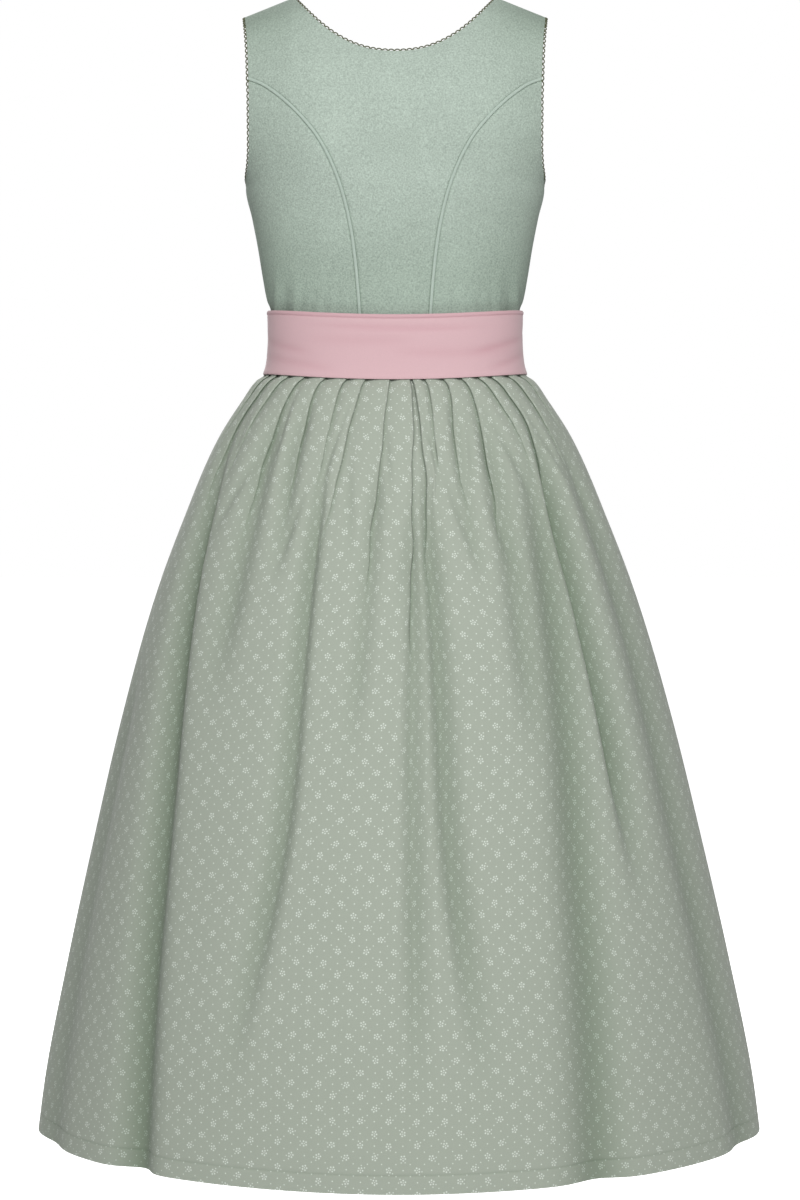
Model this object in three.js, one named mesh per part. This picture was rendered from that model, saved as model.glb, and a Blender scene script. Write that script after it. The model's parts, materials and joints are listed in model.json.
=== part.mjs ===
// A sleeveless dirndl dress in its worn, filled-out form, with nobody in it.
// Millimetres. +Z is up, the wearer faces +Y, and the wearer's right is +X.
// The origin is where the shoulders carry the dress: midway between them, level with the neck points.
// "Drop" is the distance below the origin, and "across" the distance from the middle of the body.

import * as THREE from "three";

// ---------------------------------------------------------------- driving sizes

const BODICE_CLOTH = 1.6;
const SKIRT_CLOTH = 1.4;
const SASH_CLOTH = 1.2;
const SEAM_GAP = 0.36;

const SHOULDER_SLOPE = 0.4;
const NECK_HALF_WIDTH = 105;
const TIP_ACROSS = 155;
const TIP_DROP = SHOULDER_SLOPE * (TIP_ACROSS - NECK_HALF_WIDTH);
const UNDERARM_DROP = 197;
const WAIST_SEAM_DROP = 352;
const HEM_DROP = 1172;
const SKIRT_DRIFT = 4;

const BACK_NECK = { drop: 65, roundness: 2.3 };
const FRONT_NECK = { drop: 130, roundness: 3 };

const SASH = { levels: [322.5, 352, 370, 388], clearance: 2.5, lap: 26, lapLift: 1.7 };
const WAIST_DIP = 8;
const DIP_FADE = { start: 200, full: 300, end: 420, gone: 620 };

const BUST = { across: 82, drop: 205, lift: 13, spreadAcross: 42, spreadDrop: 48 };

const PIPING = { width: 3.8, height: 1, clear: 0.7 };
const EDGING = { width: 2.2, thickness: 1.1, clear: 0.25, inset: 0.25 };

// Half width and depth of the dress by drop, with the squareness of each section's outline.
// The depths count from the shoulder line, and above the underarm ARMHOLE gives the width.
const GIRTHS = [
  { drop: 0, half: 155, back: 0.2, front: 0.2, power: 2.3 },
  { drop: 6, half: 155, back: 20, front: 17, power: 2.3 },
  { drop: 14, half: 155, back: 34, front: 29, power: 2.3 },
  { drop: 25, half: 155, back: 47, front: 41, power: 2.3 },
  { drop: 50, half: 154, back: 65, front: 58, power: 2.3 },
  { drop: 80, half: 154, back: 80, front: 74, power: 2.3 },
  { drop: 115, half: 154, back: 91, front: 91, power: 2.3 },
  { drop: 155, half: 154, back: 97, front: 107, power: 2.3 },
  { drop: 197, half: 154.3, back: 97, front: 116, power: 2.3 },
  { drop: 227, half: 148, back: 93, front: 113, power: 2.3 },
  { drop: 258, half: 142, back: 89, front: 104, power: 2.3 },
  { drop: 289, half: 137, back: 87, front: 98, power: 2.3 },
  { drop: 312, half: 132.6, back: 86, front: 96, power: 2.25 },
  { drop: 322, half: 129, back: 83.5, front: 93.5, power: 2.2 },
  { drop: 352, half: 128.5, back: 83.5, front: 93.5, power: 2.2 },
  { drop: 370, half: 129.5, back: 84.5, front: 94.5, power: 2.2 },
  { drop: 388, half: 134, back: 89, front: 98, power: 2.2 },
  { drop: 394, half: 143, back: 98, front: 104, power: 2.15 },
  { drop: 413, half: 157, back: 113, front: 117, power: 2.15 },
  { drop: 455, half: 184, back: 137, front: 140, power: 2.1 },
  { drop: 538, half: 220, back: 170, front: 172, power: 2.1 },
  { drop: 621, half: 251, back: 198, front: 200, power: 2.05 },
  { drop: 746, half: 287, back: 232, front: 233, power: 2 },
  { drop: 871, half: 317, back: 258, front: 258, power: 1.95 },
  { drop: 995, half: 345, back: 281, front: 281, power: 1.9 },
  { drop: 1120, half: 370, back: 298, front: 298, power: 1.85 },
  { drop: 1172, half: 377, back: 304, front: 304, power: 1.85 },
];

// Edge of the armhole: how far across it lies, and how much of the section's depth is left there.
const ARMHOLE = [
  { drop: TIP_DROP, across: TIP_ACROSS, share: 0.97 },
  { drop: 34, across: 152.7, share: 0.91 },
  { drop: 46, across: 151.2, share: 0.88 },
  { drop: 68, across: 149.5, share: 0.84 },
  { drop: 90, across: 148.7, share: 0.8 },
  { drop: 110, across: 148.1, share: 0.75 },
  { drop: 135, across: 148.2, share: 0.68 },
  { drop: 160, across: 148.7, share: 0.57 },
  { drop: 175, across: 150.3, share: 0.45 },
  { drop: 188, across: 153.2, share: 0.27 },
  { drop: UNDERARM_DROP, across: 154.3, share: 0 },
];

// Princess seams from the waist seam up to the armhole, one row for each section of the panels.
// The sash rows are the waist seam, the sash's upper edge and the fullness just above it.
const SASH_ROWS = 3;
const BACK_SEAM = [
  { drop: WAIST_SEAM_DROP, across: 34.5 },
  { drop: 322, across: 35.8 },
  { drop: 312, across: 36.4 },
  { drop: 285, across: 38.6 },
  { drop: 250, across: 43 },
  { drop: 212, across: 51.8 },
  { drop: 180, across: 63.3 },
  { drop: 154, across: 77 },
  { drop: 134, across: 92.5 },
  { drop: 118, across: 108 },
  { drop: 106, across: 122 },
  { drop: 97, across: 135 },
  { drop: 91, across: 148.7 },
];
const FRONT_SEAM = [
  { drop: WAIST_SEAM_DROP, across: 45 },
  { drop: 322, across: 51 },
  { drop: 312, across: 53.5 },
  { drop: 286, across: 60.8 },
  { drop: 258, across: 70 },
  { drop: 232, across: 79 },
  { drop: 208, across: 87 },
  { drop: 186, across: 94 },
  { drop: 165, across: 102.8 },
  { drop: 146, across: 114.5 },
  { drop: 130, across: 126 },
  { drop: 117, across: 138 },
  { drop: 108, across: 148.1 },
];

// Knife pleats: the compass angle of each folded edge, counted from the centre back towards the right side.
// The edges face the one at "meet", where two of them make a box.
const BACK_PLEATS = {
  meet: 10,
  edges: [-84, -78, -71, -63, -54, -43, -31, -19, -4, 10, 20, 31, 41, 50, 58, 67, 76],
};
const FRONT_PLEATS = {
  meet: 180,
  edges: [96, 104, 112, 121, 131, 142, 154, 167, 180, 193, 206, 218, 229, 239, 248, 256, 264],
};
const PLEAT = { depth: 3.2, sewn: 400, soft: 520, edgeAngle: 0.9 };

// Long hollows that the pleats run out into: compass angles at the top, halfway down and at the bottom.
const HOLLOWS = [
  { from: 392, to: 1172, top: -70, middle: -55, bottom: -51, depth: 16, width: 5.5 },
  { from: 392, to: 720, top: -54, middle: -48, bottom: -47, depth: 7, width: 4 },
  { from: 392, to: 600, top: -43, middle: -38, bottom: -35, depth: 7, width: 3.5 },
  { from: 392, to: 1100, top: -30, middle: -25, bottom: -34, depth: 9, width: 4.5 },
  { from: 410, to: 760, top: -19, middle: -8, bottom: -11, depth: 5, width: 3.5 },
  { from: 392, to: 1120, top: 10, middle: 3.5, bottom: 3, depth: 9, width: 4 },
  { from: 392, to: 1080, top: 19, middle: 11, bottom: 17, depth: 8, width: 4 },
  { from: 392, to: 620, top: 31, middle: 25, bottom: 26, depth: 6, width: 3.5 },
  { from: 392, to: 780, top: 40, middle: 35, bottom: 33, depth: 7, width: 4 },
  { from: 392, to: 1172, top: 51, middle: 42, bottom: 38, depth: 13, width: 5.5 },
  { from: 392, to: 920, top: 57, middle: 53, bottom: 55, depth: 14, width: 4.5 },
  { from: 392, to: 1130, top: 73, middle: 70, bottom: 74, depth: 9, width: 5 },
  { from: 392, to: 1172, top: 112, middle: 116, bottom: 118, depth: 13, width: 5.5 },
  { from: 392, to: 820, top: 131, middle: 133, bottom: 136, depth: 8, width: 4 },
  { from: 392, to: 1140, top: 154, middle: 152, bottom: 149, depth: 11, width: 5 },
  { from: 392, to: 1000, top: 180, middle: 177, bottom: 174, depth: 8, width: 4.5 },
  { from: 392, to: 1172, top: 206, middle: 203, bottom: 206, depth: 12, width: 5 },
  { from: 392, to: 860, top: 229, middle: 226, bottom: 224, depth: 8, width: 4 },
  { from: 392, to: 1172, top: 248, middle: 245, bottom: 247, depth: 14, width: 5.5 },
];

const SKIRT_ROWS = [352.4, 370, 388, 394, 413, 455, 540, 660, 810, 990, HEM_DROP];

// ---------------------------------------------------------------- finishes

const FINISHES = {
  bodice: { color: 0xaabfb0, roughness: 0.9, metalness: 0 },
  edging: { color: 0x8d9f88, roughness: 0.85, metalness: 0 },
  skirt: { color: 0xa8b2a2, roughness: 0.85, metalness: 0 },
  sash: { color: 0xd8b3b8, roughness: 0.7, metalness: 0 },
};

// ---------------------------------------------------------------- small helpers

const degrees = THREE.MathUtils.degToRad;

function lookUp(table, drop, column) {
  const last = table.length - 1;
  if (drop <= table[0].drop) return table[0][column];
  if (drop >= table[last].drop) return table[last][column];
  const next = table.findIndex((row) => row.drop > drop);
  const above = table[next - 1];
  const below = table[next];
  const share = (drop - above.drop) / (below.drop - above.drop);
  return THREE.MathUtils.lerp(above[column], below[column], share);
}

const lastOf = (list) => list[list.length - 1];

function spread(from, to, steps) {
  return Array.from({ length: steps + 1 }, (_, i) => THREE.MathUtils.lerp(from, to, i / steps));
}

// How far a level hangs down at the centre back; it is true at the sides and in front.
function waistDip(drop, acrossShare, isBack) {
  if (!isBack) return 0;
  const fadeIn = THREE.MathUtils.smoothstep(drop, DIP_FADE.start, DIP_FADE.full);
  const fadeOut = 1 - THREE.MathUtils.smoothstep(drop, DIP_FADE.end, DIP_FADE.gone);
  return WAIST_DIP * (1 - acrossShare * acrossShare) * fadeIn * fadeOut;
}

// ---------------------------------------------------------------- bodice surface

// A place on the bodice is its drop and its turn, from 0 at the centre to 90 degrees at the side seam
// or, above the underarm, at the armhole's edge.
function edgeAcross(drop) {
  return drop < UNDERARM_DROP ? lookUp(ARMHOLE, drop, "across") : lookUp(GIRTHS, drop, "half");
}

// Half width of the whole section that the cloth follows, which above the underarm the armhole cuts short.
function sectionHalf(drop, power) {
  const share = drop < UNDERARM_DROP ? lookUp(ARMHOLE, drop, "share") : 0;
  return edgeAcross(drop) / Math.pow(1 - Math.pow(share, power), 1 / power);
}

function turnAt(across, drop) {
  const power = lookUp(GIRTHS, drop, "power");
  return Math.asin(Math.min(1, Math.pow(across / edgeAcross(drop), power / 2)));
}

function bodicePoint(turn, drop, isBack) {
  const power = lookUp(GIRTHS, drop, "power");
  const acrossShare = Math.pow(Math.max(0, Math.sin(turn)), 2 / power);
  const across = edgeAcross(drop) * acrossShare;
  const shoulder = SHOULDER_SLOPE * Math.max(0, across - NECK_HALF_WIDTH);
  const bustAcross = (across - BUST.across) / BUST.spreadAcross;
  const bustDrop = (drop - BUST.drop) / BUST.spreadDrop;
  const bust = isBack ? 0 : BUST.lift * Math.exp(-bustAcross * bustAcross - bustDrop * bustDrop);
  const depth = lookUp(GIRTHS, drop - shoulder, isBack ? "back" : "front") + bust;
  const share = Math.pow(Math.max(0, 1 - Math.pow(across / sectionHalf(drop, power), power)), 1 / power);
  const dip = waistDip(drop, acrossShare, isBack);
  return new THREE.Vector3(across, isBack ? -depth * share : depth * share, -drop - dip);
}

function bodiceNormal(turn, drop, isBack, onShoulder) {
  if (onShoulder) return new THREE.Vector3(SHOULDER_SLOPE, 0, 1).normalize();
  const turnStep = 0.01;
  const dropStep = 2;
  const inner = Math.max(turnStep, Math.min(turn, Math.PI / 2 - turnStep));
  const lower = Math.max(drop, dropStep);
  const alongTurn = bodicePoint(inner + turnStep, drop, isBack).sub(bodicePoint(inner - turnStep, drop, isBack));
  const alongDrop = bodicePoint(inner, lower + dropStep, isBack).sub(bodicePoint(inner, lower - dropStep, isBack));
  const normal = alongTurn.cross(alongDrop).normalize();
  return isBack ? normal : normal.negate();
}

function seamPlace({ drop, across }) {
  return { turn: turnAt(across, drop), drop };
}

function edgePlace(drop) {
  return { turn: Math.PI / 2, drop };
}

function necklinePlace(neck, across) {
  const drop = neck.drop * (1 - Math.pow(across / NECK_HALF_WIDTH, neck.roundness));
  return seamPlace({ drop, across });
}

function shoulderPlace(across) {
  return seamPlace({ drop: SHOULDER_SLOPE * (across - NECK_HALF_WIDTH), across });
}

// Drops of a panel's sections along a straight edge: the rows at the sash as on the seam, the rest even.
function sectionDrops(seam, top, rows) {
  const atSash = seam.slice(0, SASH_ROWS).map((row) => row.drop);
  return [...atSash, ...spread(lastOf(atSash), top, rows - SASH_ROWS).slice(1)];
}

// Fills the inside of a panel from its four edges, each a list of places running left to right or upwards.
// The rows at the sash keep level, and only those above them bend towards the upper edge.
function fillPanel({ bottom, top, left, right }) {
  const columns = bottom.length - 1;
  const bending = left.length - SASH_ROWS;
  const blend = (i, j, key) => {
    const u = i / columns;
    const v = Math.max(0, j - SASH_ROWS + 1) / bending;
    const edges = (1 - v) * bottom[i][key] + v * top[i][key] + (1 - u) * left[j][key] + u * right[j][key];
    const low = (1 - u) * bottom[0][key] + u * bottom[columns][key];
    const high = (1 - u) * top[0][key] + u * top[columns][key];
    return edges - (1 - v) * low - v * high;
  };
  return left.map((_, j) => bottom.map((_, i) => ({ turn: blend(i, j, "turn"), drop: blend(i, j, "drop") })));
}

// Turns a grid of places into points and normals, on the right side of the body or mirrored to the left.
function layOut(places, isBack, shoulderFrom) {
  const topRow = places.length - 1;
  return places.map((row, j) =>
    row.map(({ turn, drop }, i) => {
      const onShoulder = j === topRow && shoulderFrom !== undefined && i >= shoulderFrom;
      return { point: bodicePoint(turn, drop, isBack), normal: bodiceNormal(turn, drop, isBack, onShoulder) };
    }),
  );
}

function mirrored(grid) {
  const flip = ({ x, y, z }) => new THREE.Vector3(-x, y, z);
  return grid.map((row) => row.map(({ point, normal }) => ({ point: flip(point), normal: flip(normal) })));
}

// ---------------------------------------------------------------- solids

function solidFrom(positions, triangles) {
  const geometry = new THREE.BufferGeometry();
  geometry.setAttribute("position", new THREE.Float32BufferAttribute(positions.flatMap((p) => p.toArray()), 3));
  const volume = triangles.reduce((sum, [a, b, c]) => {
    const cross = new THREE.Vector3().crossVectors(positions[b], positions[c]);
    return sum + positions[a].dot(cross);
  }, 0);
  const outward = volume > 0 ? triangles : triangles.map(([a, b, c]) => [a, c, b]);
  geometry.setIndex(outward.flat());
  geometry.computeVertexNormals();
  return geometry;
}

function quad(triangles, a, b, c, d) {
  triangles.push([a, b, c], [a, c, d]);
}

// Draws the rim of a grid in by half a seam gap, so that neighbouring pieces don't touch.
function insetRim(grid) {
  const rows = grid.length - 1;
  const columns = grid[0].length - 1;
  const towards = (from, to) => to.clone().sub(from).setLength(SEAM_GAP / 2);
  return grid.map((row, j) =>
    row.map(({ point, normal }, i) => {
      const moved = point.clone();
      if (i === 0) moved.add(towards(point, row[1].point));
      if (i === columns) moved.add(towards(point, row[columns - 1].point));
      if (j === 0) moved.add(towards(point, grid[1][i].point));
      if (j === rows) moved.add(towards(point, grid[rows - 1][i].point));
      return { point: moved, normal };
    }),
  );
}

// A cloth wall: the grid is its outer face, and the inner face lies one thickness inside it.
function clothWall(grid, thickness) {
  const rows = grid.length;
  const columns = grid[0].length;
  const outer = grid.flat().map(({ point }) => point);
  const inner = grid.flat().map(({ point, normal }) => point.clone().addScaledVector(normal, -thickness));
  const inside = outer.length;
  const at = (j, i) => j * columns + i;
  const triangles = [];
  for (let j = 0; j < rows - 1; j += 1) {
    for (let i = 0; i < columns - 1; i += 1) {
      quad(triangles, at(j, i), at(j, i + 1), at(j + 1, i + 1), at(j + 1, i));
      quad(triangles, inside + at(j, i), inside + at(j + 1, i), inside + at(j + 1, i + 1), inside + at(j, i + 1));
    }
  }
  const rim = [
    ...Array.from({ length: columns - 1 }, (_, i) => at(0, i)),
    ...Array.from({ length: rows - 1 }, (_, j) => at(j, columns - 1)),
    ...Array.from({ length: columns - 1 }, (_, i) => at(rows - 1, columns - 1 - i)),
    ...Array.from({ length: rows - 1 }, (_, j) => at(rows - 1 - j, 0)),
  ];
  rim.forEach((from, k) => {
    const to = rim[(k + 1) % rim.length];
    quad(triangles, from, inside + from, inside + to, to);
  });
  return solidFrom([...outer, ...inner], triangles);
}

// A narrow trim swept along a line. Each corner of its section is a step out over the cloth's edge and a lift
// off its face.
function sweptTrim(line, section, closed) {
  const sides = section.length;
  const positions = line.flatMap(({ point, normal, out }) =>
    section.map(([step, lift]) => point.clone().addScaledVector(out, step).addScaledVector(normal, lift)),
  );
  const triangles = [];
  const stretches = closed ? line.length : line.length - 1;
  for (let j = 0; j < stretches; j += 1) {
    const next = (j + 1) % line.length;
    for (let i = 0; i < sides; i += 1) {
      const side = (i + 1) % sides;
      quad(triangles, j * sides + i, j * sides + side, next * sides + side, next * sides + i);
    }
  }
  if (!closed) {
    const end = (line.length - 1) * sides;
    for (let i = 1; i < sides - 1; i += 1) {
      triangles.push([0, i + 1, i], [end, end + i, end + i + 1]);
    }
  }
  return solidFrom(positions, triangles);
}

const dress = new THREE.Group();

function addPiece(name, geometry, finish) {
  const mesh = new THREE.Mesh(geometry, new THREE.MeshStandardMaterial(FINISHES[finish]));
  mesh.name = name;
  dress.add(mesh);
}

// ---------------------------------------------------------------- bodice panels

const ARMHOLE_STEPS = 5;
const NECK_STEPS = 5;
const SHOULDER_STEPS = 2;
const SIDE_STEPS = 5;

function waistPlaces(fromTurn, toTurn, steps) {
  return spread(fromTurn, toTurn, steps).map((turn) => ({ turn, drop: WAIST_SEAM_DROP }));
}

// The panel between the centre line and the princess seam, with its strap up to the shoulder seam.
function centrePlaces(seam, neck) {
  const seamSide = seam.map(seamPlace);
  const armholeSide = spread(lastOf(seam).drop, TIP_DROP, ARMHOLE_STEPS).slice(1).map(edgePlace);
  const right = [...seamSide, ...armholeSide];
  const left = sectionDrops(seam, neck.drop, right.length).map((drop) => ({ turn: 0, drop }));
  const neckline = spread(0, NECK_HALF_WIDTH, NECK_STEPS).map((across) => necklinePlace(neck, across));
  const shoulder = spread(NECK_HALF_WIDTH, TIP_ACROSS, SHOULDER_STEPS).slice(1).map(shoulderPlace);
  const top = [...neckline, ...shoulder];
  const bottom = waistPlaces(0, seamSide[0].turn, top.length - 1);
  return fillPanel({ bottom, top, left, right });
}

// The panel between the princess seam and the side seam, under the armhole.
function sidePlaces(seam) {
  const left = seam.map(seamPlace);
  const right = sectionDrops(seam, UNDERARM_DROP, seam.length).map(edgePlace);
  const top = spread(lastOf(seam).drop, UNDERARM_DROP, SIDE_STEPS).map(edgePlace);
  const bottom = waistPlaces(left[0].turn, Math.PI / 2, SIDE_STEPS);
  return fillPanel({ bottom, top, left, right });
}

const backCentre = layOut(centrePlaces(BACK_SEAM, BACK_NECK), true, NECK_STEPS);
const backSide = layOut(sidePlaces(BACK_SEAM), true);
const frontCentre = layOut(centrePlaces(FRONT_SEAM, FRONT_NECK), false, NECK_STEPS);
const frontSide = layOut(sidePlaces(FRONT_SEAM), false);

// The centre back is cut in one: the left half in reverse, then the right half without the shared centre line.
const backCentreWhole = backCentre.map((row, j) => [...mirrored(backCentre)[j].reverse(), ...row.slice(1)]);

addPiece("bodice_back_centre", clothWall(insetRim(backCentreWhole), BODICE_CLOTH), "bodice");
for (const [side, turned] of [["right", (grid) => grid], ["left", mirrored]]) {
  addPiece(`bodice_back_side_${side}`, clothWall(insetRim(turned(backSide)), BODICE_CLOTH), "bodice");
  addPiece(`bodice_front_${side}`, clothWall(insetRim(turned(frontCentre)), BODICE_CLOTH), "bodice");
  addPiece(`bodice_front_side_${side}`, clothWall(insetRim(turned(frontSide)), BODICE_CLOTH), "bodice");
}

// ---------------------------------------------------------------- piping and picot edging

// Gives each point of a line its direction out over the edge, square to the line and in the cloth's face.
function withOutward(line, away, closed) {
  const last = line.length - 1;
  return line.map(({ point, normal }, k) => {
    const before = line[closed ? (k + last) % line.length : Math.max(0, k - 1)].point;
    const after = line[closed ? (k + 1) % line.length : Math.min(last, k + 1)].point;
    const along = after.clone().sub(before).normalize();
    const out = new THREE.Vector3().crossVectors(along, normal).normalize();
    if (out.dot(away(k)) < 0) out.negate();
    return { point, normal, out };
  });
}

function pipingStrip(panel) {
  const seamLine = panel.slice(0, BACK_SEAM.length).map(lastOf);
  const line = withOutward(seamLine, () => new THREE.Vector3(1, 0, 0), false);
  const half = PIPING.width / 2;
  const section = [
    [-half, PIPING.clear],
    [-half / 2, PIPING.clear + PIPING.height],
    [half / 2, PIPING.clear + PIPING.height],
    [half, PIPING.clear],
  ];
  return { line, section };
}

const EDGING_SECTION = [
  [EDGING.clear, -EDGING.inset],
  [EDGING.clear + EDGING.width, -EDGING.inset],
  [EDGING.clear + EDGING.width, -EDGING.inset - EDGING.thickness],
  [EDGING.clear, -EDGING.inset - EDGING.thickness],
];

function mirroredLine(line) {
  return mirrored([line])[0];
}

// Half of the neck's edge, from the centre back round the neck point to the centre front.
function neckHalf() {
  const back = lastOf(backCentre).slice(0, NECK_STEPS + 1);
  const front = lastOf(frontCentre).slice(0, NECK_STEPS).reverse();
  return [...back, ...front];
}

// The armhole's edge from the underarm up the back, over the shoulder and down the front.
function armholeLoop() {
  const backLow = lastOf(backSide).slice(1).reverse();
  const backHigh = backCentre.slice(BACK_SEAM.length - 1).map(lastOf);
  const frontHigh = frontCentre.slice(FRONT_SEAM.length - 1, -1).map(lastOf).reverse();
  const frontLow = lastOf(frontSide).slice(1, -1);
  return [...backLow, ...backHigh, ...frontHigh, ...frontLow];
}

const neckRight = neckHalf();
const neckLine = [...mirroredLine(neckRight).reverse(), ...neckRight.slice(1)];
const neckMiddle = new THREE.Vector3(0, 0, 0);
const neckFrames = withOutward(neckLine, (k) => neckMiddle.clone().sub(neckLine[k].point), false);
addPiece("neck_edging", sweptTrim(neckFrames, EDGING_SECTION, false), "edging");

const armMiddle = new THREE.Vector3(TIP_ACROSS, 0, -(TIP_DROP + UNDERARM_DROP) / 2);
for (const [side, sign, turned] of [["right", 1, (line) => line], ["left", -1, mirroredLine]]) {
  const loop = turned(armholeLoop());
  const middle = armMiddle.clone().multiply(new THREE.Vector3(sign, 1, 1));
  const frames = withOutward(loop, (k) => middle.clone().sub(loop[k].point), true);
  addPiece(`armhole_edging_${side}`, sweptTrim(frames, EDGING_SECTION, true), "edging");
  for (const [face, panel] of [["back", backCentre], ["front", frontCentre]]) {
    const { line, section } = pipingStrip(sign > 0 ? panel : mirrored(panel));
    addPiece(`piping_${face}_${side}`, sweptTrim(line, section, false), "bodice");
  }
}

// ---------------------------------------------------------------- skirt and sash

// The plain outline of the dress at a drop, without pleats, at a compass angle from the centre back.
function outlinePoint(angle, drop, extra) {
  const turn = degrees(angle);
  const isBack = Math.cos(turn) > 0;
  const power = lookUp(GIRTHS, drop, "power");
  const half = lookUp(GIRTHS, drop, "half") + extra;
  const depth = lookUp(GIRTHS, drop, isBack ? "back" : "front") + extra;
  const across = Math.pow(Math.abs(Math.sin(turn)) / half, power);
  const along = Math.pow(Math.abs(Math.cos(turn)) / depth, power);
  const reach = Math.pow(across + along, -1 / power);
  const drift = SKIRT_DRIFT * THREE.MathUtils.smoothstep(drop, DIP_FADE.end, HEM_DROP);
  const dip = waistDip(drop, (reach * Math.sin(turn)) / half, isBack);
  return new THREE.Vector3(reach * Math.sin(turn) + drift, -reach * Math.cos(turn), -drop - dip);
}

// Each pleat rises towards its folded edge and drops to its neighbour's face there.
function pleatColumns({ meet, edges }, from, to) {
  const stops = [from, ...edges, to];
  const columns = [];
  for (let k = 0; k < stops.length - 1; k += 1) {
    const [start, end] = [stops[k], stops[k + 1]];
    const facesEnd = start < meet;
    const middle = (start + end) / 2;
    columns.push({ angle: start + (k === 0 ? 0 : PLEAT.edgeAngle / 2), rise: facesEnd ? 0 : 1 });
    columns.push({ angle: middle, rise: 0.5 });
    columns.push({ angle: end - (end === to ? 0 : PLEAT.edgeAngle / 2), rise: facesEnd ? 1 : 0 });
  }
  return columns;
}

function hollowDepth(angle, drop) {
  return HOLLOWS.reduce((deepest, hollow) => {
    const share = (drop - hollow.from) / (hollow.to - hollow.from);
    if (share <= 0 || share > 1) return deepest;
    const upper = THREE.MathUtils.lerp(hollow.top, hollow.middle, Math.min(1, share * 2));
    const line = share < 0.5 ? upper : THREE.MathUtils.lerp(hollow.middle, hollow.bottom, share * 2 - 1);
    const offset = (angle - line) / hollow.width;
    const start = THREE.MathUtils.smoothstep(share, 0, 0.2);
    const end = hollow.to >= HEM_DROP ? 1 : 1 - THREE.MathUtils.smoothstep(share, 0.7, 1);
    return deepest + hollow.depth * start * end * Math.exp(-offset * offset);
  }, 0);
}

function skirtPoint({ angle, rise }, drop) {
  const pleated = 1 - THREE.MathUtils.smoothstep(drop, PLEAT.sewn, PLEAT.soft);
  const sunk = PLEAT.depth * pleated * (1 - rise) + hollowDepth(angle, drop);
  return outlinePoint(angle, drop, -sunk);
}

// Points and normals of a ruled grid, the normals taken square to its own faces.
function gridWithNormals(points) {
  const rows = points.length - 1;
  const columns = points[0].length - 1;
  return points.map((row, j) =>
    row.map((point, i) => {
      const along = row[Math.min(i + 1, columns)].clone().sub(row[Math.max(i - 1, 0)]);
      const down = points[Math.min(j + 1, rows)][i].clone().sub(points[Math.max(j - 1, 0)][i]);
      const normal = down.cross(along).normalize();
      const radial = new THREE.Vector3(point.x, point.y, 0);
      return { point, normal: normal.dot(radial) < 0 ? normal.negate() : normal };
    }),
  );
}

const SKIRT_PANELS = [
  { name: "skirt_back", pleats: BACK_PLEATS, from: -90, to: 90 },
  { name: "skirt_front", pleats: FRONT_PLEATS, from: 90, to: 270 },
];
for (const { name, pleats, from, to } of SKIRT_PANELS) {
  const columns = pleatColumns(pleats, from, to);
  const points = SKIRT_ROWS.map((drop) => columns.map((column) => skirtPoint(column, drop)));
  addPiece(name, clothWall(insetRim(gridWithNormals(points)), SKIRT_CLOTH), "skirt");
}

// The sash goes once round from the front and laps over its own end there.
const SASH_START = 160;
const SASH_STEP = 6;
const SASH_RISE = 24;
const sashTurns = spread(SASH_START, SASH_START + 360 + SASH.lap, Math.round((360 + SASH.lap) / SASH_STEP));
const sashPoints = SASH.levels.map((level) =>
  sashTurns.map((angle) => {
    const lapStart = SASH_START + 360 - SASH_RISE;
    const lifted = SASH.lapLift * THREE.MathUtils.smoothstep(angle, lapStart, lapStart + SASH_RISE);
    return outlinePoint(angle, level, SASH.clearance + SASH_CLOTH + lifted);
  }),
);
addPiece("sash", clothWall(gridWithNormals(sashPoints), SASH_CLOTH), "sash");

export default dress;
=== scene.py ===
"""Looks of a sleeveless dirndl dress in its worn, filled-out form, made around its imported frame.

The tables are in millimetres, as on a pattern sheet, and each mesh is turned into metres when it is made.
+Z is up, the wearer faces +Y, and the wearer's right is +X. "Drop" is the distance below the shoulders,
"across" the distance from the middle of the body, and an angle is counted from the centre back to the right.
"""

import math

import bmesh
import bpy
import numpy as np
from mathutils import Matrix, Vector
import json  # noqa: E402

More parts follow.
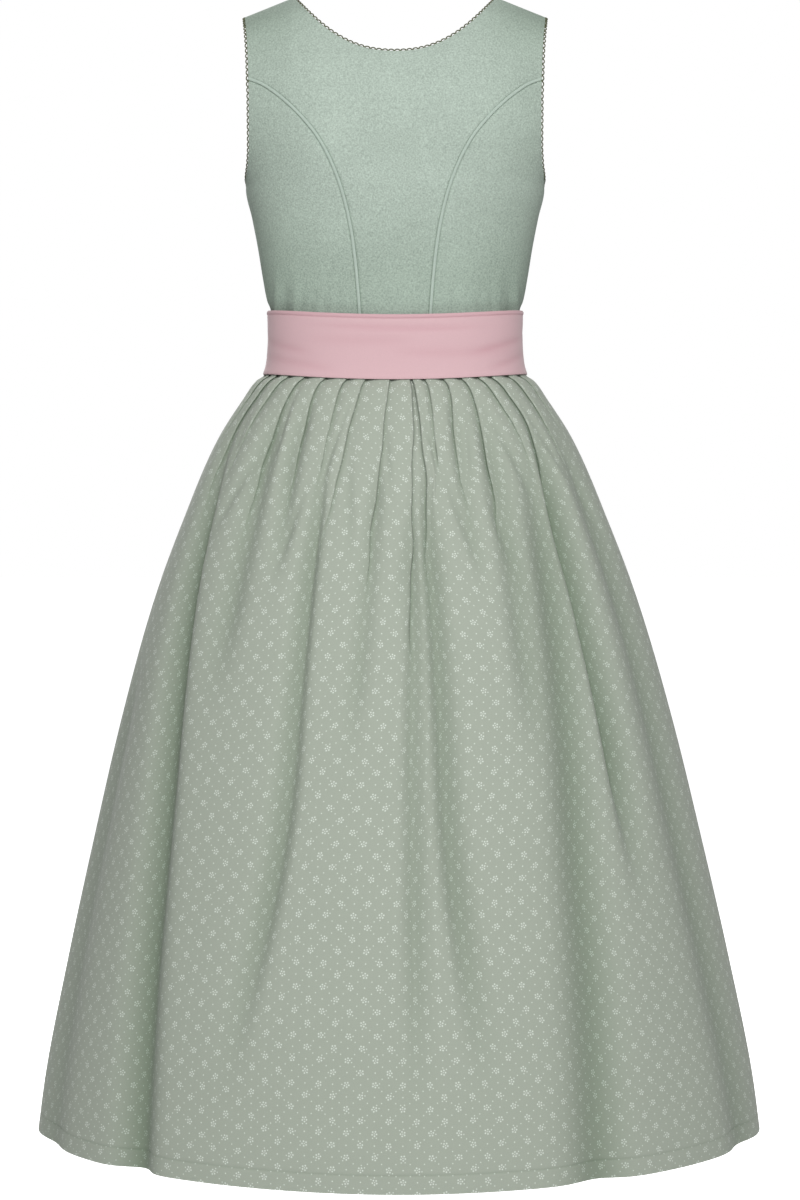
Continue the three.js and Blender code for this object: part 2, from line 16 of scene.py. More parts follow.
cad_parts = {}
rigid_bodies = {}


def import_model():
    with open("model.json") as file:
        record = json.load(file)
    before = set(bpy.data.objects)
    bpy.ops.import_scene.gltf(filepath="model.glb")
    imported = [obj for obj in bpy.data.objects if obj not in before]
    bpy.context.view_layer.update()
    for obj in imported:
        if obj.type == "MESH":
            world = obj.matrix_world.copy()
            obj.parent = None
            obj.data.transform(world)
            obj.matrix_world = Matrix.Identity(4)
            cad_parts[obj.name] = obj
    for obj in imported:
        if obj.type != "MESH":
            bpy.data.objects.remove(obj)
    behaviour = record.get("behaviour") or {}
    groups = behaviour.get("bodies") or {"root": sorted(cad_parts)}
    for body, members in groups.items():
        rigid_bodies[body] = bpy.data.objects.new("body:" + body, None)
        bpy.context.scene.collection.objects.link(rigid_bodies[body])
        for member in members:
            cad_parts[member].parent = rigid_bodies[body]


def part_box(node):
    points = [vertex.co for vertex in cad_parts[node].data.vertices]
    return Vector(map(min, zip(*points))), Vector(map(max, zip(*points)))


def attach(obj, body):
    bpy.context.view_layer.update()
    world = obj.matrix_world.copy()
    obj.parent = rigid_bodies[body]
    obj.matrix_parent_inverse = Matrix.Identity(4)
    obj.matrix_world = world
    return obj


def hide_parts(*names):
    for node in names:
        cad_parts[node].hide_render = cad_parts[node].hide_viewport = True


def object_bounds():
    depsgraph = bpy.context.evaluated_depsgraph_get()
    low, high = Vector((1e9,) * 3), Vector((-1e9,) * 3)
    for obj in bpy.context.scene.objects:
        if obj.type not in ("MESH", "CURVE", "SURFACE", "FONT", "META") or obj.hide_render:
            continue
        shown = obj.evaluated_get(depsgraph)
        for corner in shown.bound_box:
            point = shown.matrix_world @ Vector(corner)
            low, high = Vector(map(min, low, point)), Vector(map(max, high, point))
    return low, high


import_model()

bl_info = {
    "name": "Dirndl Dress",
    "version": (1, 0, 0),
    "blender": (4, 5, 0),
    "location": "View3D > Sidebar > Dress",
    "description": "Bodice, piping, picot edging, pleated skirt and sash of a dirndl dress",
    "category": "Object",
}

MM = 0.001
FRAME_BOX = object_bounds()

# ---------------------------------------------------------------- sizes read from the frame

HEM_DROP = -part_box("skirt_front")[0].z / MM
WAIST_SEAM_DROP = -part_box("bodice_front_right")[0].z / MM
TIP_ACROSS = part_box("bodice_back_centre")[1].x / MM
SKIRT_TOP = WAIST_SEAM_DROP + 1

# ---------------------------------------------------------------- the dress's form


def smooth_line(at, values):
    """A function that runs smoothly through the values, with no overshoot between them."""
    at = np.asarray(at, float)
    values = np.asarray(values, float)
    step = np.diff(at)
    slope = np.diff(values) / step
    tangent = np.concatenate([slope[:1], np.zeros(len(at) - 2), slope[-1:]])
    before, after = slope[:-1], slope[1:]
    same_way = before * after > 0
    heavy, light = 2 * step[1:] + step[:-1], step[1:] + 2 * step[:-1]
    safe_before = np.where(same_way, before, 1)
    safe_after = np.where(same_way, after, 1)
    tangent[1:-1] = np.where(same_way, (heavy + light) / (heavy / safe_before + light / safe_after), 0)

    def line(x):
        x = np.clip(x, at[0], at[-1])
        k = np.clip(np.searchsorted(at, x, side="right") - 1, 0, len(step) - 1)
        t = (x - at[k]) / step[k]
        start = (1 + 2 * t) * (1 - t) ** 2 * values[k] + t * (1 - t) ** 2 * step[k] * tangent[k]
        end = t * t * (3 - 2 * t) * values[k + 1] + t * t * (t - 1) * step[k] * tangent[k + 1]
        return start + end

    return line


class Table:
    """A short table with named columns."""

    def __init__(self, names, rows):
        self.names = names.split()
        self.rows = rows
        for name, values in zip(self.names, np.array(rows, float).T):
            setattr(self, name, values)

    def line(self, column):
        """A column as a smooth function of the drop."""
        return smooth_line(self.drop, getattr(self, column))

    def each(self):
        for row in self.rows:
            yield dict(zip(self.names, row))


def smoothstep(x, start, end):
    t = np.clip((x - start) / (end - start), 0, 1)
    return t * t * (3 - 2 * t)


def trough(distance, depth, reach):
    """Depth of a soft trough at a distance from its middle line."""
    return depth * np.exp(-((distance / reach) ** 2))


# Half width, depths and squareness of the whole section at each drop.
GIRTHS = Table("drop half back front power", [
    (0, 155, 0.2, 0.2, 2.3),
    (6, 155, 20, 17, 2.3),
    (14, 155, 34, 29, 2.3),
    (25, 155, 47, 41, 2.3),
    (50, 154, 65, 58, 2.3),
    (80, 154, 80, 74, 2.3),
    (115, 154, 91, 91, 2.3),
    (155, 154, 97, 107, 2.3),
    (197, 154.3, 97, 116, 2.3),
    (227, 148, 93, 113, 2.3),
    (258, 142, 89, 104, 2.3),
    (289, 137, 87, 98, 2.3),
    (312, 132.6, 86, 96, 2.25),
    (322, 129, 83.5, 93.5, 2.2),
    (352, 128.5, 83.5, 93.5, 2.2),
    (370, 129.5, 84.5, 94.5, 2.2),
    (388, 134, 89, 98, 2.2),
    (394, 143, 98, 104, 2.15),
    (413, 157, 113, 117, 2.15),
    (455, 184, 137, 140, 2.1),
    (538, 220, 170, 172, 2.1),
    (621, 251, 198, 200, 2.05),
    (746, 287, 232, 233, 2),
    (871, 317, 258, 258, 1.95),
    (995, 345, 281, 281, 1.9),
    (1120, 370, 298, 298, 1.85),
    (HEM_DROP, 377, 304, 304, 1.85),
])
girth_half = GIRTHS.line("half")
girth_power = GIRTHS.line("power")
depth_by_root = {side: smooth_line(np.sqrt(GIRTHS.drop), getattr(GIRTHS, side)) for side in ("back", "front")}

NECK_HALF_WIDTH = 105
SHOULDER_SLOPE = 0.4
UNDERARM_DROP = 197
BACK_NECK = {"drop": 65, "roundness": 2.3}
FRONT_NECK = {"drop": 130, "roundness": 3}
WAIST_DIP = 8
DIP_FADE = {"start": 200, "full": 300, "end": 420, "gone": 620}
BUST = {"across": 82, "drop": 205, "lift": 13, "spread_across": 42, "spread_drop": 48}
SKIRT_DRIFT = 4

# The armhole's edge: how far across it lies, and how much of the section's depth is left there.
ARMHOLE = Table("drop across share", [
    (SHOULDER_SLOPE * (TIP_ACROSS - NECK_HALF_WIDTH), TIP_ACROSS, 0.97),
    (34, 152.7, 0.91),
    (46, 151.2, 0.88),
    (68, 149.5, 0.84),
    (90, 148.7, 0.8),
    (110, 148.1, 0.75),
    (135, 148.2, 0.68),
    (160, 148.7, 0.57),
    (175, 150.3, 0.45),
    (188, 153.2, 0.27),
    (UNDERARM_DROP, 154.3, 0),
])
armhole_across = ARMHOLE.line("across")
armhole_share = ARMHOLE.line("share")

# The princess seams, from the waist seam up to the armhole.
BACK_SEAM = Table("drop across", [
    (WAIST_SEAM_DROP, 34.5),
    (322, 35.8),
    (312, 36.4),
    (285, 38.6),
    (250, 43),
    (212, 51.8),
    (180, 63.3),
    (154, 77),
    (134, 92.5),
    (118, 108),
    (106, 122),
    (97, 135),
    (91, 148.7),
])
FRONT_SEAM = Table("drop across", [
    (WAIST_SEAM_DROP, 45),
    (322, 51),
    (312, 53.5),
    (286, 60.8),
    (258, 70),
    (232, 79),
    (208, 87),
    (186, 94),
    (165, 102.8),
    (146, 114.5),
    (130, 126),
    (117, 138),
    (108, 148.1),
])


def waist_dip(drop, across_share, is_back):
    """How far a level hangs down at the centre back."""
    fade_in = smoothstep(drop, DIP_FADE["start"], DIP_FADE["full"])
    fade_out = 1 - smoothstep(drop, DIP_FADE["end"], DIP_FADE["gone"])
    return np.where(is_back, WAIST_DIP * (1 - across_share**2) * fade_in * fade_out, 0)


def section_depth(drop, is_back):
    root = np.sqrt(np.maximum(drop, 0))
    return np.where(is_back, depth_by_root["back"](root), depth_by_root["front"](root))


def edge_across(drop):
    return np.where(drop < UNDERARM_DROP, armhole_across(drop), girth_half(drop))


def rest_of(share, power):
    """What a rounded section leaves of its depth at a share of its width, or the other way round."""
    return np.maximum(0, 1 - np.clip(share, 0, 1) ** power) ** (1 / power)


def turn_at(across, drop):
    return np.arcsin(np.minimum(1, (across / edge_across(drop)) ** (girth_power(drop) / 2)))


def bodice_point(turn, drop, is_back):
    """Points of the bodice's outer face on its right half."""
    power = girth_power(drop)
    across_share = np.maximum(0, np.sin(turn)) ** (2 / power)
    across = edge_across(drop) * across_share
    share_left = np.where(drop < UNDERARM_DROP, armhole_share(drop), 0)
    section_half = edge_across(drop) / rest_of(share_left, power)
    shoulder = SHOULDER_SLOPE * np.maximum(0, across - NECK_HALF_WIDTH)
    bust_across = (across - BUST["across"]) / BUST["spread_across"]
    bust_drop = (drop - BUST["drop"]) / BUST["spread_drop"]
    bust = 0 if is_back else BUST["lift"] * np.exp(-(bust_across**2) - bust_drop**2)
    depth = (section_depth(drop - shoulder, is_back) + bust) * rest_of(across / section_half, power)
    y = -depth if is_back else depth
    return np.stack([across, y, -drop - waist_dip(drop, across_share, is_back)], axis=-1)


def unit(vectors):
    return vectors / np.maximum(np.linalg.norm(vectors, axis=-1, keepdims=True), 1e-9)


def bodice_normal(turn, drop, is_back):
    """Outward directions, taken a little inside the shoulder and the centre line, where the form turns."""
    turn_step, drop_step = 0.01, 1.5
    inner = np.clip(turn, turn_step, math.pi / 2 - turn_step)
    lower = np.maximum(drop, drop_step)
    along = bodice_point(inner + turn_step, drop, is_back) - bodice_point(inner - turn_step, drop, is_back)
    down = bodice_point(inner, lower + drop_step, is_back) - bodice_point(inner, lower - drop_step, is_back)
    normal = unit(np.cross(along, down))
    return -normal if is_back else normal


# ---------------------------------------------------------------- meshes from grids and lines


def grid_faces(rows, columns, closed=False):
    """Quads of a grid; a closed one joins its last column to its first."""
    number = np.arange(rows * columns).reshape(rows, columns)
    if closed:
        number = np.concatenate([number, number[:, :1]], axis=1)
    corners = [number[:-1, :-1], number[:-1, 1:], number[1:, 1:], number[1:, :-1]]
    return np.stack([corner.ravel() for corner in corners], axis=-1)


def deselect():
    if bpy.context.object and bpy.context.object.mode != "OBJECT":
        bpy.ops.object.mode_set(mode="OBJECT")
    bpy.ops.object.select_all(action="DESELECT")


def use_alone(piece):
    deselect()
    piece.select_set(True)
    bpy.context.view_layer.objects.active = piece


def apply_modifier(piece, kind, **settings):
    use_alone(piece)
    modifier = piece.modifiers.new(kind.title(), kind)
    for name, value in settings.items():
        setattr(modifier, name, value)
    bpy.ops.object.modifier_apply(modifier=modifier.name)


def thicken(piece, thickness):
    """Gives a sheet its wall, inwards from its outer face."""
    apply_modifier(piece, "SOLIDIFY", thickness=thickness * MM, offset=-1, use_rim=True)


def remove_old(name):
    """Takes away the piece that an earlier run made."""
    for old in [o for o in bpy.data.objects if o.name == name]:
        bpy.data.objects.remove(old)


def mesh_piece(name, points, faces, uv=None, crease=None):
    """A smooth mesh object from points in millimetres. Each point may have its place on the flat cloth, in
    metres, and its painted shade, from 0 to 1: how much the material darkens its colour."""
    remove_old(name)
    mesh = bpy.data.meshes.new(name)
    places = np.asarray(points, float).reshape(-1, 3) * MM
    mesh.from_pydata(places.tolist(), [], [tuple(map(int, face)) for face in faces])
    if uv is not None:
        layer = mesh.uv_layers.new(name="Cloth")
        corner = np.empty(len(mesh.loops), np.int32)
        mesh.loops.foreach_get("vertex_index", corner)
        layer.data.foreach_set("uv", np.asarray(uv, float).reshape(-1, 2)[corner].ravel())
    if crease is not None:
        attribute = mesh.attributes.new("Crease", "FLOAT", "POINT")
        attribute.data.foreach_set("value", np.asarray(crease, np.float32).ravel())
    mesh.shade_smooth()
    piece = bpy.data.objects.new(name, mesh)
    bpy.context.scene.collection.objects.link(piece)
    return piece


def faces_outward(points, faces):
    """Turns all faces round together if most of them look towards the middle line."""
    corner = points.reshape(-1, 3)[faces]
    normal = np.cross(corner[:, 2] - corner[:, 0], corner[:, 3] - corner[:, 1])
    out = corner.mean(axis=1)
    out[:, 2] = 0
    return faces if np.sum(normal * out) > 0 else faces[:, ::-1]


def cloth_piece(name, points, thickness, uv=None, crease=None):
    """A thin shell: the grid is the cloth's outer face and the wall lies inside it."""
    faces = faces_outward(points, grid_faces(*points.shape[:2]))
    piece = mesh_piece(name, points, faces, uv, crease)
    thicken(piece, thickness)
    return piece


def swept_piece(name, line, section, closed_line):
    """A trim swept along a line of points, outward and lifted by each step of its closed section."""
    points, outs, lifts = line
    rings = np.stack([points + outs * step + lifts * lift for step, lift in section], axis=1)
    faces = grid_faces(*rings.shape[:2], closed=True).tolist()
    sides = rings.shape[1]
    last = (rings.shape[0] - 1) * sides
    if closed_line:
        for i in range(sides):
            faces.append([last + i, last + (i + 1) % sides, (i + 1) % sides, i])
    else:
        faces.append(list(range(sides))[::-1])
        faces.append(list(range(last, last + sides)))
    piece = mesh_piece(name, rings, faces)
    point_outward(piece)
    return piece


def point_outward(piece):
    shape = bmesh.new()
    shape.from_mesh(piece.data)
    bmesh.ops.recalc_face_normals(shape, faces=shape.faces)
    shape.to_mesh(piece.data)
    shape.free()


def settle(piece, nodes, material):
    """Puts a finished piece on the one body, in place of its CAD nodes."""
    piece.data.materials.clear()
    piece.data.materials.append(material)
    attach(piece, "root")
    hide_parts(*nodes)
    return piece


# ---------------------------------------------------------------- materials


def add_node(tree, kind, inputs=None, **settings):
    """A node with its inputs given as values or as sockets to link, by name or number."""
    node = tree.nodes.new(kind)
    for name, value in settings.items():
        setattr(node, name, value)
    for key, value in (inputs or {}).items():
        if isinstance(value, bpy.types.NodeSocket):
            tree.links.new(value, node.inputs[key])
        else:
            node.inputs[key].default_value = value
    return node


def sums(tree, operation, *values):
    """One step of arithmetic; returns its result."""
    inputs = dict(enumerate(values))
    return add_node(tree, "ShaderNodeMath", inputs, operation=operation).outputs[0]


def group_with(name, inputs, outputs):
    """An empty node group with float or vector sockets, its input node and its output node."""
    group = bpy.data.node_groups.new(name, "ShaderNodeTree")
    for label, kind, default in inputs:
        socket = group.interface.new_socket(label, in_out="INPUT", socket_type=kind)
        if default is not None:
            socket.default_value = default
    for label, kind in outputs:
        group.interface.new_socket(label, in_out="OUTPUT", socket_type=kind)
    return group, group.nodes.new("NodeGroupInput"), group.nodes.new("NodeGroupOutput")


def soft_spot(tree, distance, radius, softness):
    """1 inside a radius and 0 outside it, with a soft rim."""
    outside, inside = sums(tree, "ADD", radius, softness), sums(tree, "SUBTRACT", radius, softness)
    inputs = {0: distance, 1: outside, 2: inside}
    return add_node(tree, "ShaderNodeMapRange", inputs, interpolation_type="SMOOTHSTEP").outputs[0]


# The two leaves' places beside a blossom, in metres, and the radius of a blossom's centre and of a leaf as
# shares of a petal's, and of a small dot as a share of a dot's.
LEAF_PLACES = ((0.0042, 0.0016), (0.0040, -0.0021))
PRINT_SHARES = {"centre": 0.7, "leaf": 0.75, "small dot": 0.9}


def print_group():
    """A small blossom with two leaves on a centred lattice, dotted between: outputs its mask."""
    if "Blossom Print" in bpy.data.node_groups:
        return bpy.data.node_groups["Blossom Print"]
    group, given, result = group_with(
        "Blossom Print",
        [
            ("Cloth", "NodeSocketVector", None),
            ("Across", "NodeSocketFloat", 0.0135),
            ("Down", "NodeSocketFloat", 0.0114),
            ("Petal Ring", "NodeSocketFloat", 0.0022),
            ("Petal", "NodeSocketFloat", 0.0008),
            ("Dot", "NodeSocketFloat", 0.00065),
            ("Softness", "NodeSocketFloat", 0.0003),
        ],
        [("Mask", "NodeSocketFloat")],
    )
    place = add_node(group, "ShaderNodeSeparateXYZ", {0: given.outputs["Cloth"]})
    soft = given.outputs["Softness"]

    def cell(offset):
        """Numbers of the lattice place nearest to a point, and the way from it to the point."""
        numbers, ways = [], []
        for axis, pitch in (("X", "Across"), ("Y", "Down")):
            share = sums(group, "DIVIDE", place.outputs[axis], given.outputs[pitch])
            share = sums(group, "ADD", share, offset)
            number = sums(group, "ROUND", share)
            numbers.append(number)
            ways.append(sums(group, "MULTIPLY", sums(group, "SUBTRACT", share, number), given.outputs[pitch]))
        return numbers, ways

    def length(x, y):
        return sums(group, "SQRT", sums(group, "ADD", sums(group, "POWER", x, 2), sums(group, "POWER", y, 2)))

    numbers, ways = cell(0)
    parity = sums(group, "PINGPONG", sums(group, "ADD", *numbers), 1)
    where = add_node(group, "ShaderNodeCombineXYZ", {0: numbers[0], 1: numbers[1]})
    chance = add_node(group, "ShaderNodeTexWhiteNoise", {0: where.outputs[0]}, noise_dimensions="2D")
    way = add_node(group, "ShaderNodeCombineXYZ", {0: ways[0], 1: ways[1]})
    turned = add_node(
        group,
        "ShaderNodeVectorRotate",
        {"Vector": way.outputs[0], "Angle": sums(group, "MULTIPLY", chance.outputs["Value"], 2 * math.pi)},
        rotation_type="Z_AXIS",
    )
    local = add_node(group, "ShaderNodeSeparateXYZ", {0: turned.outputs[0]})
    x, y = local.outputs["X"], local.outputs["Y"]
    reach = length(x, y)
    fifth = sums(group, "WRAP", sums(group, "ARCTAN2", y, x), math.pi / 5, -math.pi / 5)
    along = sums(group, "MULTIPLY", reach, sums(group, "COSINE", fifth))
    aside = sums(group, "MULTIPLY", reach, sums(group, "SINE", fifth))
    petal_way = length(sums(group, "SUBTRACT", along, given.outputs["Petal Ring"]), aside)
    petals = soft_spot(group, petal_way, given.outputs["Petal"], soft)
    centre_size = sums(group, "MULTIPLY", given.outputs["Petal"], PRINT_SHARES["centre"])
    centre = soft_spot(group, reach, centre_size, soft)
    blossom = sums(group, "MAXIMUM", petals, centre)
    leaf_size = sums(group, "MULTIPLY", given.outputs["Petal"], PRINT_SHARES["leaf"])
    for leaf_x, leaf_y in LEAF_PLACES:
        leaf_way = length(sums(group, "SUBTRACT", x, leaf_x), sums(group, "SUBTRACT", y, leaf_y))
        leaf = soft_spot(group, leaf_way, leaf_size, soft)
        blossom = sums(group, "MAXIMUM", blossom, leaf)
    blossom = sums(group, "MULTIPLY", blossom, sums(group, "SUBTRACT", 1, parity))
    dot = soft_spot(group, length(*ways), given.outputs["Dot"], soft)
    dot = sums(group, "MULTIPLY", dot, parity)
    small_dot = sums(group, "MULTIPLY", given.outputs["Dot"], PRINT_SHARES["small dot"])
    between = soft_spot(group, length(*cell(0.5)[1]), small_dot, soft)
    mask = sums(group, "MAXIMUM", blossom, sums(group, "MAXIMUM", dot, between))
    group.links.new(mask, result.inputs["Mask"])
    return group


def cloth_group():
    """Grain of a cloth: small flecks and slow unevenness for its colour, and a height for its bump."""
    if "Cloth Grain" in bpy.data.node_groups:
        return bpy.data.node_groups["Cloth Grain"]
    group, given, result = group_with(
        "Cloth Grain",
        [
            ("Vector", "NodeSocketVector", None),
            ("Fleck Scale", "NodeSocketFloat", 700.0),
            ("Patch Scale", "NodeSocketFloat", 14.0),
            ("Dark", "NodeSocketColor", (0.5, 0.5, 0.5, 1)),
            ("Light", "NodeSocketColor", (0.8, 0.8, 0.8, 1)),
            ("Patch Share", "NodeSocketFloat", 0.25),
        ],
        [("Color", "NodeSocketColor"), ("Height", "NodeSocketFloat"), ("Roughness", "NodeSocketFloat")],
    )
    place, scale = given.outputs["Vector"], given.outputs["Fleck Scale"]
    inputs = {"Vector": place, "Scale": scale, "Detail": 2.0, "Roughness": 0.6}
    flecks = add_node(group, "ShaderNodeTexNoise", inputs)
    inputs = {"Vector": place, "Scale": given.outputs["Patch Scale"], "Detail": 3.0}
    patches = add_node(group, "ShaderNodeTexNoise", inputs)
    patch = sums(group, "SUBTRACT", patches.outputs[0], 0.5)
    shift = sums(group, "MULTIPLY", patch, given.outputs["Patch Share"])
    shifted = sums(group, "ADD", flecks.outputs[0], shift)
    share = add_node(group, "ShaderNodeMapRange", {0: shifted, 1: 0.25, 2: 0.75})
    mixed = add_node(group, "ShaderNodeMix", {"Factor": share.outputs[0]}, data_type="RGBA")
    group.links.new(given.outputs["Dark"], mixed.inputs[6])
    group.links.new(given.outputs["Light"], mixed.inputs[7])
    group.links.new(mixed.outputs[2], result.inputs["Color"])
    group.links.new(flecks.outputs[0], result.inputs["Height"])
    rough = add_node(group, "ShaderNodeMapRange", {0: flecks.outputs[0], 1: 0.2, 2: 0.8, 3: 0.92, 4: 0.8})
    group.links.new(rough.outputs[0], result.inputs["Roughness"])
    return group


# Painted shade: how much a point in full shade is darkened, and the tint it is multiplied by on the green
# cloths and the sash.
PAINTED_SHADE_STRENGTH = 0.75
GREEN_PAINTED_SHADE = (0.33, 0.42, 0.32, 1)
ROSE_PAINTED_SHADE = (0.72, 0.42, 0.5, 1)
CLOTH_SPECULAR = 0.18
SHEEN_ROUGHNESS = 0.5
BUMP_HEIGHT = 0.0006


def shade(color, share):
    return tuple(channel * share for channel in color[:3]) + (1,)


def cloth_material(
    name, color, contrast, fleck_scale, bump, sheen, patch=0.25, crease=GREEN_PAINTED_SHADE, printed=None
):
    """A woven cloth with painted shade: its colour is darkened by the mesh's painted shade attribute, deep in
    its creases and other shaded places. printed holds the print's pitches, colour and strength, and needs the
    cloth's own UV map."""
    if name in bpy.data.materials:
        bpy.data.materials.remove(bpy.data.materials[name])
    material = bpy.data.materials.new(name)
    material.use_nodes = True
    tree = material.node_tree
    shader = tree.nodes["Principled BSDF"]
    shader.inputs["Specular IOR Level"].default_value = CLOTH_SPECULAR
    shader.inputs["Sheen Weight"].default_value = sheen
    shader.inputs["Sheen Roughness"].default_value = SHEEN_ROUGHNESS
    if printed:
        place = add_node(tree, "ShaderNodeUVMap", uv_map="Cloth").outputs[0]
    else:
        place = add_node(tree, "ShaderNodeTexCoord").outputs["Object"]
    grain = add_node(tree, "ShaderNodeGroup", node_tree=cloth_group())
    tree.links.new(place, grain.inputs["Vector"])
    grain.inputs["Fleck Scale"].default_value = fleck_scale
    grain.inputs["Patch Share"].default_value = patch
    grain.inputs["Dark"].default_value = shade(color, 1 - contrast)
    grain.inputs["Light"].default_value = shade(color, 1 + contrast)
    surface = grain.outputs["Color"]
    if printed:
        printing = add_node(tree, "ShaderNodeGroup", {"Cloth": place}, node_tree=print_group())
        printing.inputs["Across"].default_value = printed["across"]
        printing.inputs["Down"].default_value = printed["down"]
        strength = sums(tree, "MULTIPLY", printing.outputs["Mask"], printed["strength"])
        mixed = add_node(tree, "ShaderNodeMix", {"Factor": strength}, data_type="RGBA")
        tree.links.new(surface, mixed.inputs[6])
        mixed.inputs[7].default_value = tuple(printed["color"]) + (1,)
        surface = mixed.outputs[2]
    # Painted shade: the mesh's attribute darkens the colour towards the shade tint, in creases, hollows and
    # other shaded places.
    depth = add_node(tree, "ShaderNodeAttribute", attribute_name="Crease").outputs["Fac"]
    folded = sums(tree, "MULTIPLY", depth, PAINTED_SHADE_STRENGTH)
    shaded = add_node(tree, "ShaderNodeMix", {"Factor": folded}, data_type="RGBA", blend_type="MULTIPLY")
    tree.links.new(surface, shaded.inputs[6])
    shaded.inputs[7].default_value = crease
    tree.links.new(shaded.outputs[2], shader.inputs["Base Color"])
    tree.links.new(grain.outputs["Roughness"], shader.inputs["Roughness"])
    bumped = add_node(tree, "ShaderNodeBump", {"Height": grain.outputs["Height"]})
    bumped.inputs["Strength"].default_value = bump
    bumped.inputs["Distance"].default_value = BUMP_HEIGHT
    tree.links.new(bumped.outputs[0], shader.inputs["Normal"])
    return material


# ---------------------------------------------------------------- bodice

# Grid of a side panel: its steps across, how many of its seam points keep level under the sash, the rows and
# the columns in a step, and the rows in the last one.
SIDE_COLUMNS = 5
SASH_ROWS = 3
ROW_SHARE = 5
COLUMN_SHARE = 6
TOP_SHARE = 12
# Places in a step beside a seam, so that its rolled edge has enough points.
CROWDED = np.array([0.2, 0.4, 0.55, 0.68, 0.78, 0.86, 0.92, 0.96, 1.0])
# Grid of a centre panel: its columns, the steps of its rows up to the drop where they lengthen and above it,
# its rows under the neckline and beside it, and the last ones before the shoulder.
PANEL_COLUMNS = 52
ROW_STEPS = {"low": 4, "high": 6, "lengthen": 270}
UNDER_NECK = np.array([4.5, 2.8, 1.6, 0.8, 0.3])
NECK_STEPS = 34
RIDGE = np.array([3.2, 2.1, 1.3, 0.7, 0.3, 0.08, 0])
RIDGE_ROOM = 0.6

# How far a panel's edge rolls in at a seam, how far from it that begins, and how much painted shade darkens
# it there.
ROLL = {"depth": 1.3, "reach": 2.2, "dark": 1.3}
# Painted shade where the cloth turns away from the light: how much, and between which distances.
SIDE_SHADE = {"share": 0.15, "start": 50, "end": 150}
WAIST_SHADE = {"share": 0.32, "start": 190, "end": 305}
SHOULDER_SHADE = {"share": 0.3, "start": 10, "end": 90}

# Small upright puckers where the sash draws the bodice in: none at the top drop, full at the foot.
PUCKER_FOOT = 318
BACK_PUCKERS = Table("across lift width top", [
    (-121, 2.86, 2.56, 272),
    (-112, -1.98, 2.24, 284),
    (-101, 2.42, 2.88, 278),
    (-88, 1.76, 2.4, 290),
    (-77, 2.64, 2.72, 283),
    (-64, 1.54, 2.08, 292),
    (-50, 1.1, 2.08, 298),
    (52, 1.32, 2.24, 298),
    (67, 1.98, 2.4, 288),
    (79, 2.86, 2.72, 279),
    (92, 1.76, 2.24, 290),
    (104, 2.64, 2.72, 275),
    (116, -1.76, 2.08, 285),
    (124, 2.42, 2.4, 276),
])
FRONT_PUCKERS = Table("across lift width top", [
    (-118, 2.42, 2.72, 276),
    (-104, 1.76, 2.4, 286),
    (-86, 2.64, 2.88, 280),
    (-70, 1.54, 2.24, 292),
    (-34, 1.1, 2.24, 296),
    (29, 1.32, 2.4, 295),
    (66, 2.2, 2.56, 284),
    (83, 1.76, 2.4, 290),
    (99, 2.64, 2.72, 277),
    (115, 1.98, 2.4, 283),
])


def column_steps():
    """Column places of a side panel, crowded together towards both edges."""
    even = np.arange((SIDE_COLUMNS - 1) * COLUMN_SHARE + 1) / COLUMN_SHARE
    crowded = np.concatenate([1 - CROWDED, even, SIDE_COLUMNS - 1 + CROWDED])
    return np.unique(np.round(crowded, 6))


def row_steps(intervals):
    """Row places, crowded under the last one."""
    even = np.arange((intervals - 1) * ROW_SHARE + 1) / ROW_SHARE
    last = 1 - (1 - np.arange(1, TOP_SHARE + 1) / TOP_SHARE) ** 2
    return np.concatenate([even, intervals - 1 + last])


def seam_places(seam, rows):
    number = np.arange(len(seam.drop))
    drop = smooth_line(number, seam.drop)(rows)
    across = smooth_line(number, seam.across)(rows)
    return turn_at(across, drop), drop


def below_shoulder(across, drop):
    return drop - SHOULDER_SLOPE * np.maximum(0, across - NECK_HALF_WIDTH)


def neckline_drop(neck, across):
    return neck["drop"] * (1 - (across / NECK_HALF_WIDTH) ** neck["roundness"])


def centre_rows(neck):
    """Distances below the shoulder seam of a centre panel's rows, from the waist seam up."""
    low, high = ROW_STEPS["low"], ROW_STEPS["high"]
    lower = np.arange(WAIST_SEAM_DROP, ROW_STEPS["lengthen"], -low)
    upper = np.arange(lower[-1] - high, neck["drop"] + high + 1, -high)
    beside_neck = neckline_drop(neck, np.linspace(0, NECK_HALF_WIDTH, NECK_STEPS + 1))
    beside_neck = beside_neck[beside_neck > RIDGE[0] + RIDGE_ROOM]
    return np.concatenate([lower, upper, neck["drop"] + UNDER_NECK, beside_neck, RIDGE])


def centre_places(seam, neck):
    """Between the centre line, or the neckline above it, and the princess seam or the armhole."""
    rows = centre_rows(neck)
    seam_drop = np.linspace(seam.drop[0], seam.drop[-1], 400)
    arm_drop = np.linspace(seam.drop[-1], ARMHOLE.drop[0], 200)
    edge_drop = np.concatenate([seam_drop, arm_drop])
    on_seam = smooth_line(seam.drop[::-1], seam.across[::-1])(seam_drop)
    edge = np.concatenate([on_seam, edge_across(arm_drop)])
    outer = np.interp(-rows, -below_shoulder(edge, edge_drop), edge)
    inner = NECK_HALF_WIDTH * np.maximum(0, 1 - rows / neck["drop"]) ** (1 / neck["roundness"])
    share = (1 - np.cos(math.pi * np.linspace(0, 1, PANEL_COLUMNS + 1))) / 2
    across = inner[:, None] + share[None, :] * (outer - inner)[:, None]
    drop = rows[:, None] + SHOULDER_SLOPE * np.maximum(0, across - NECK_HALF_WIDTH)
    return turn_at(across, drop), drop


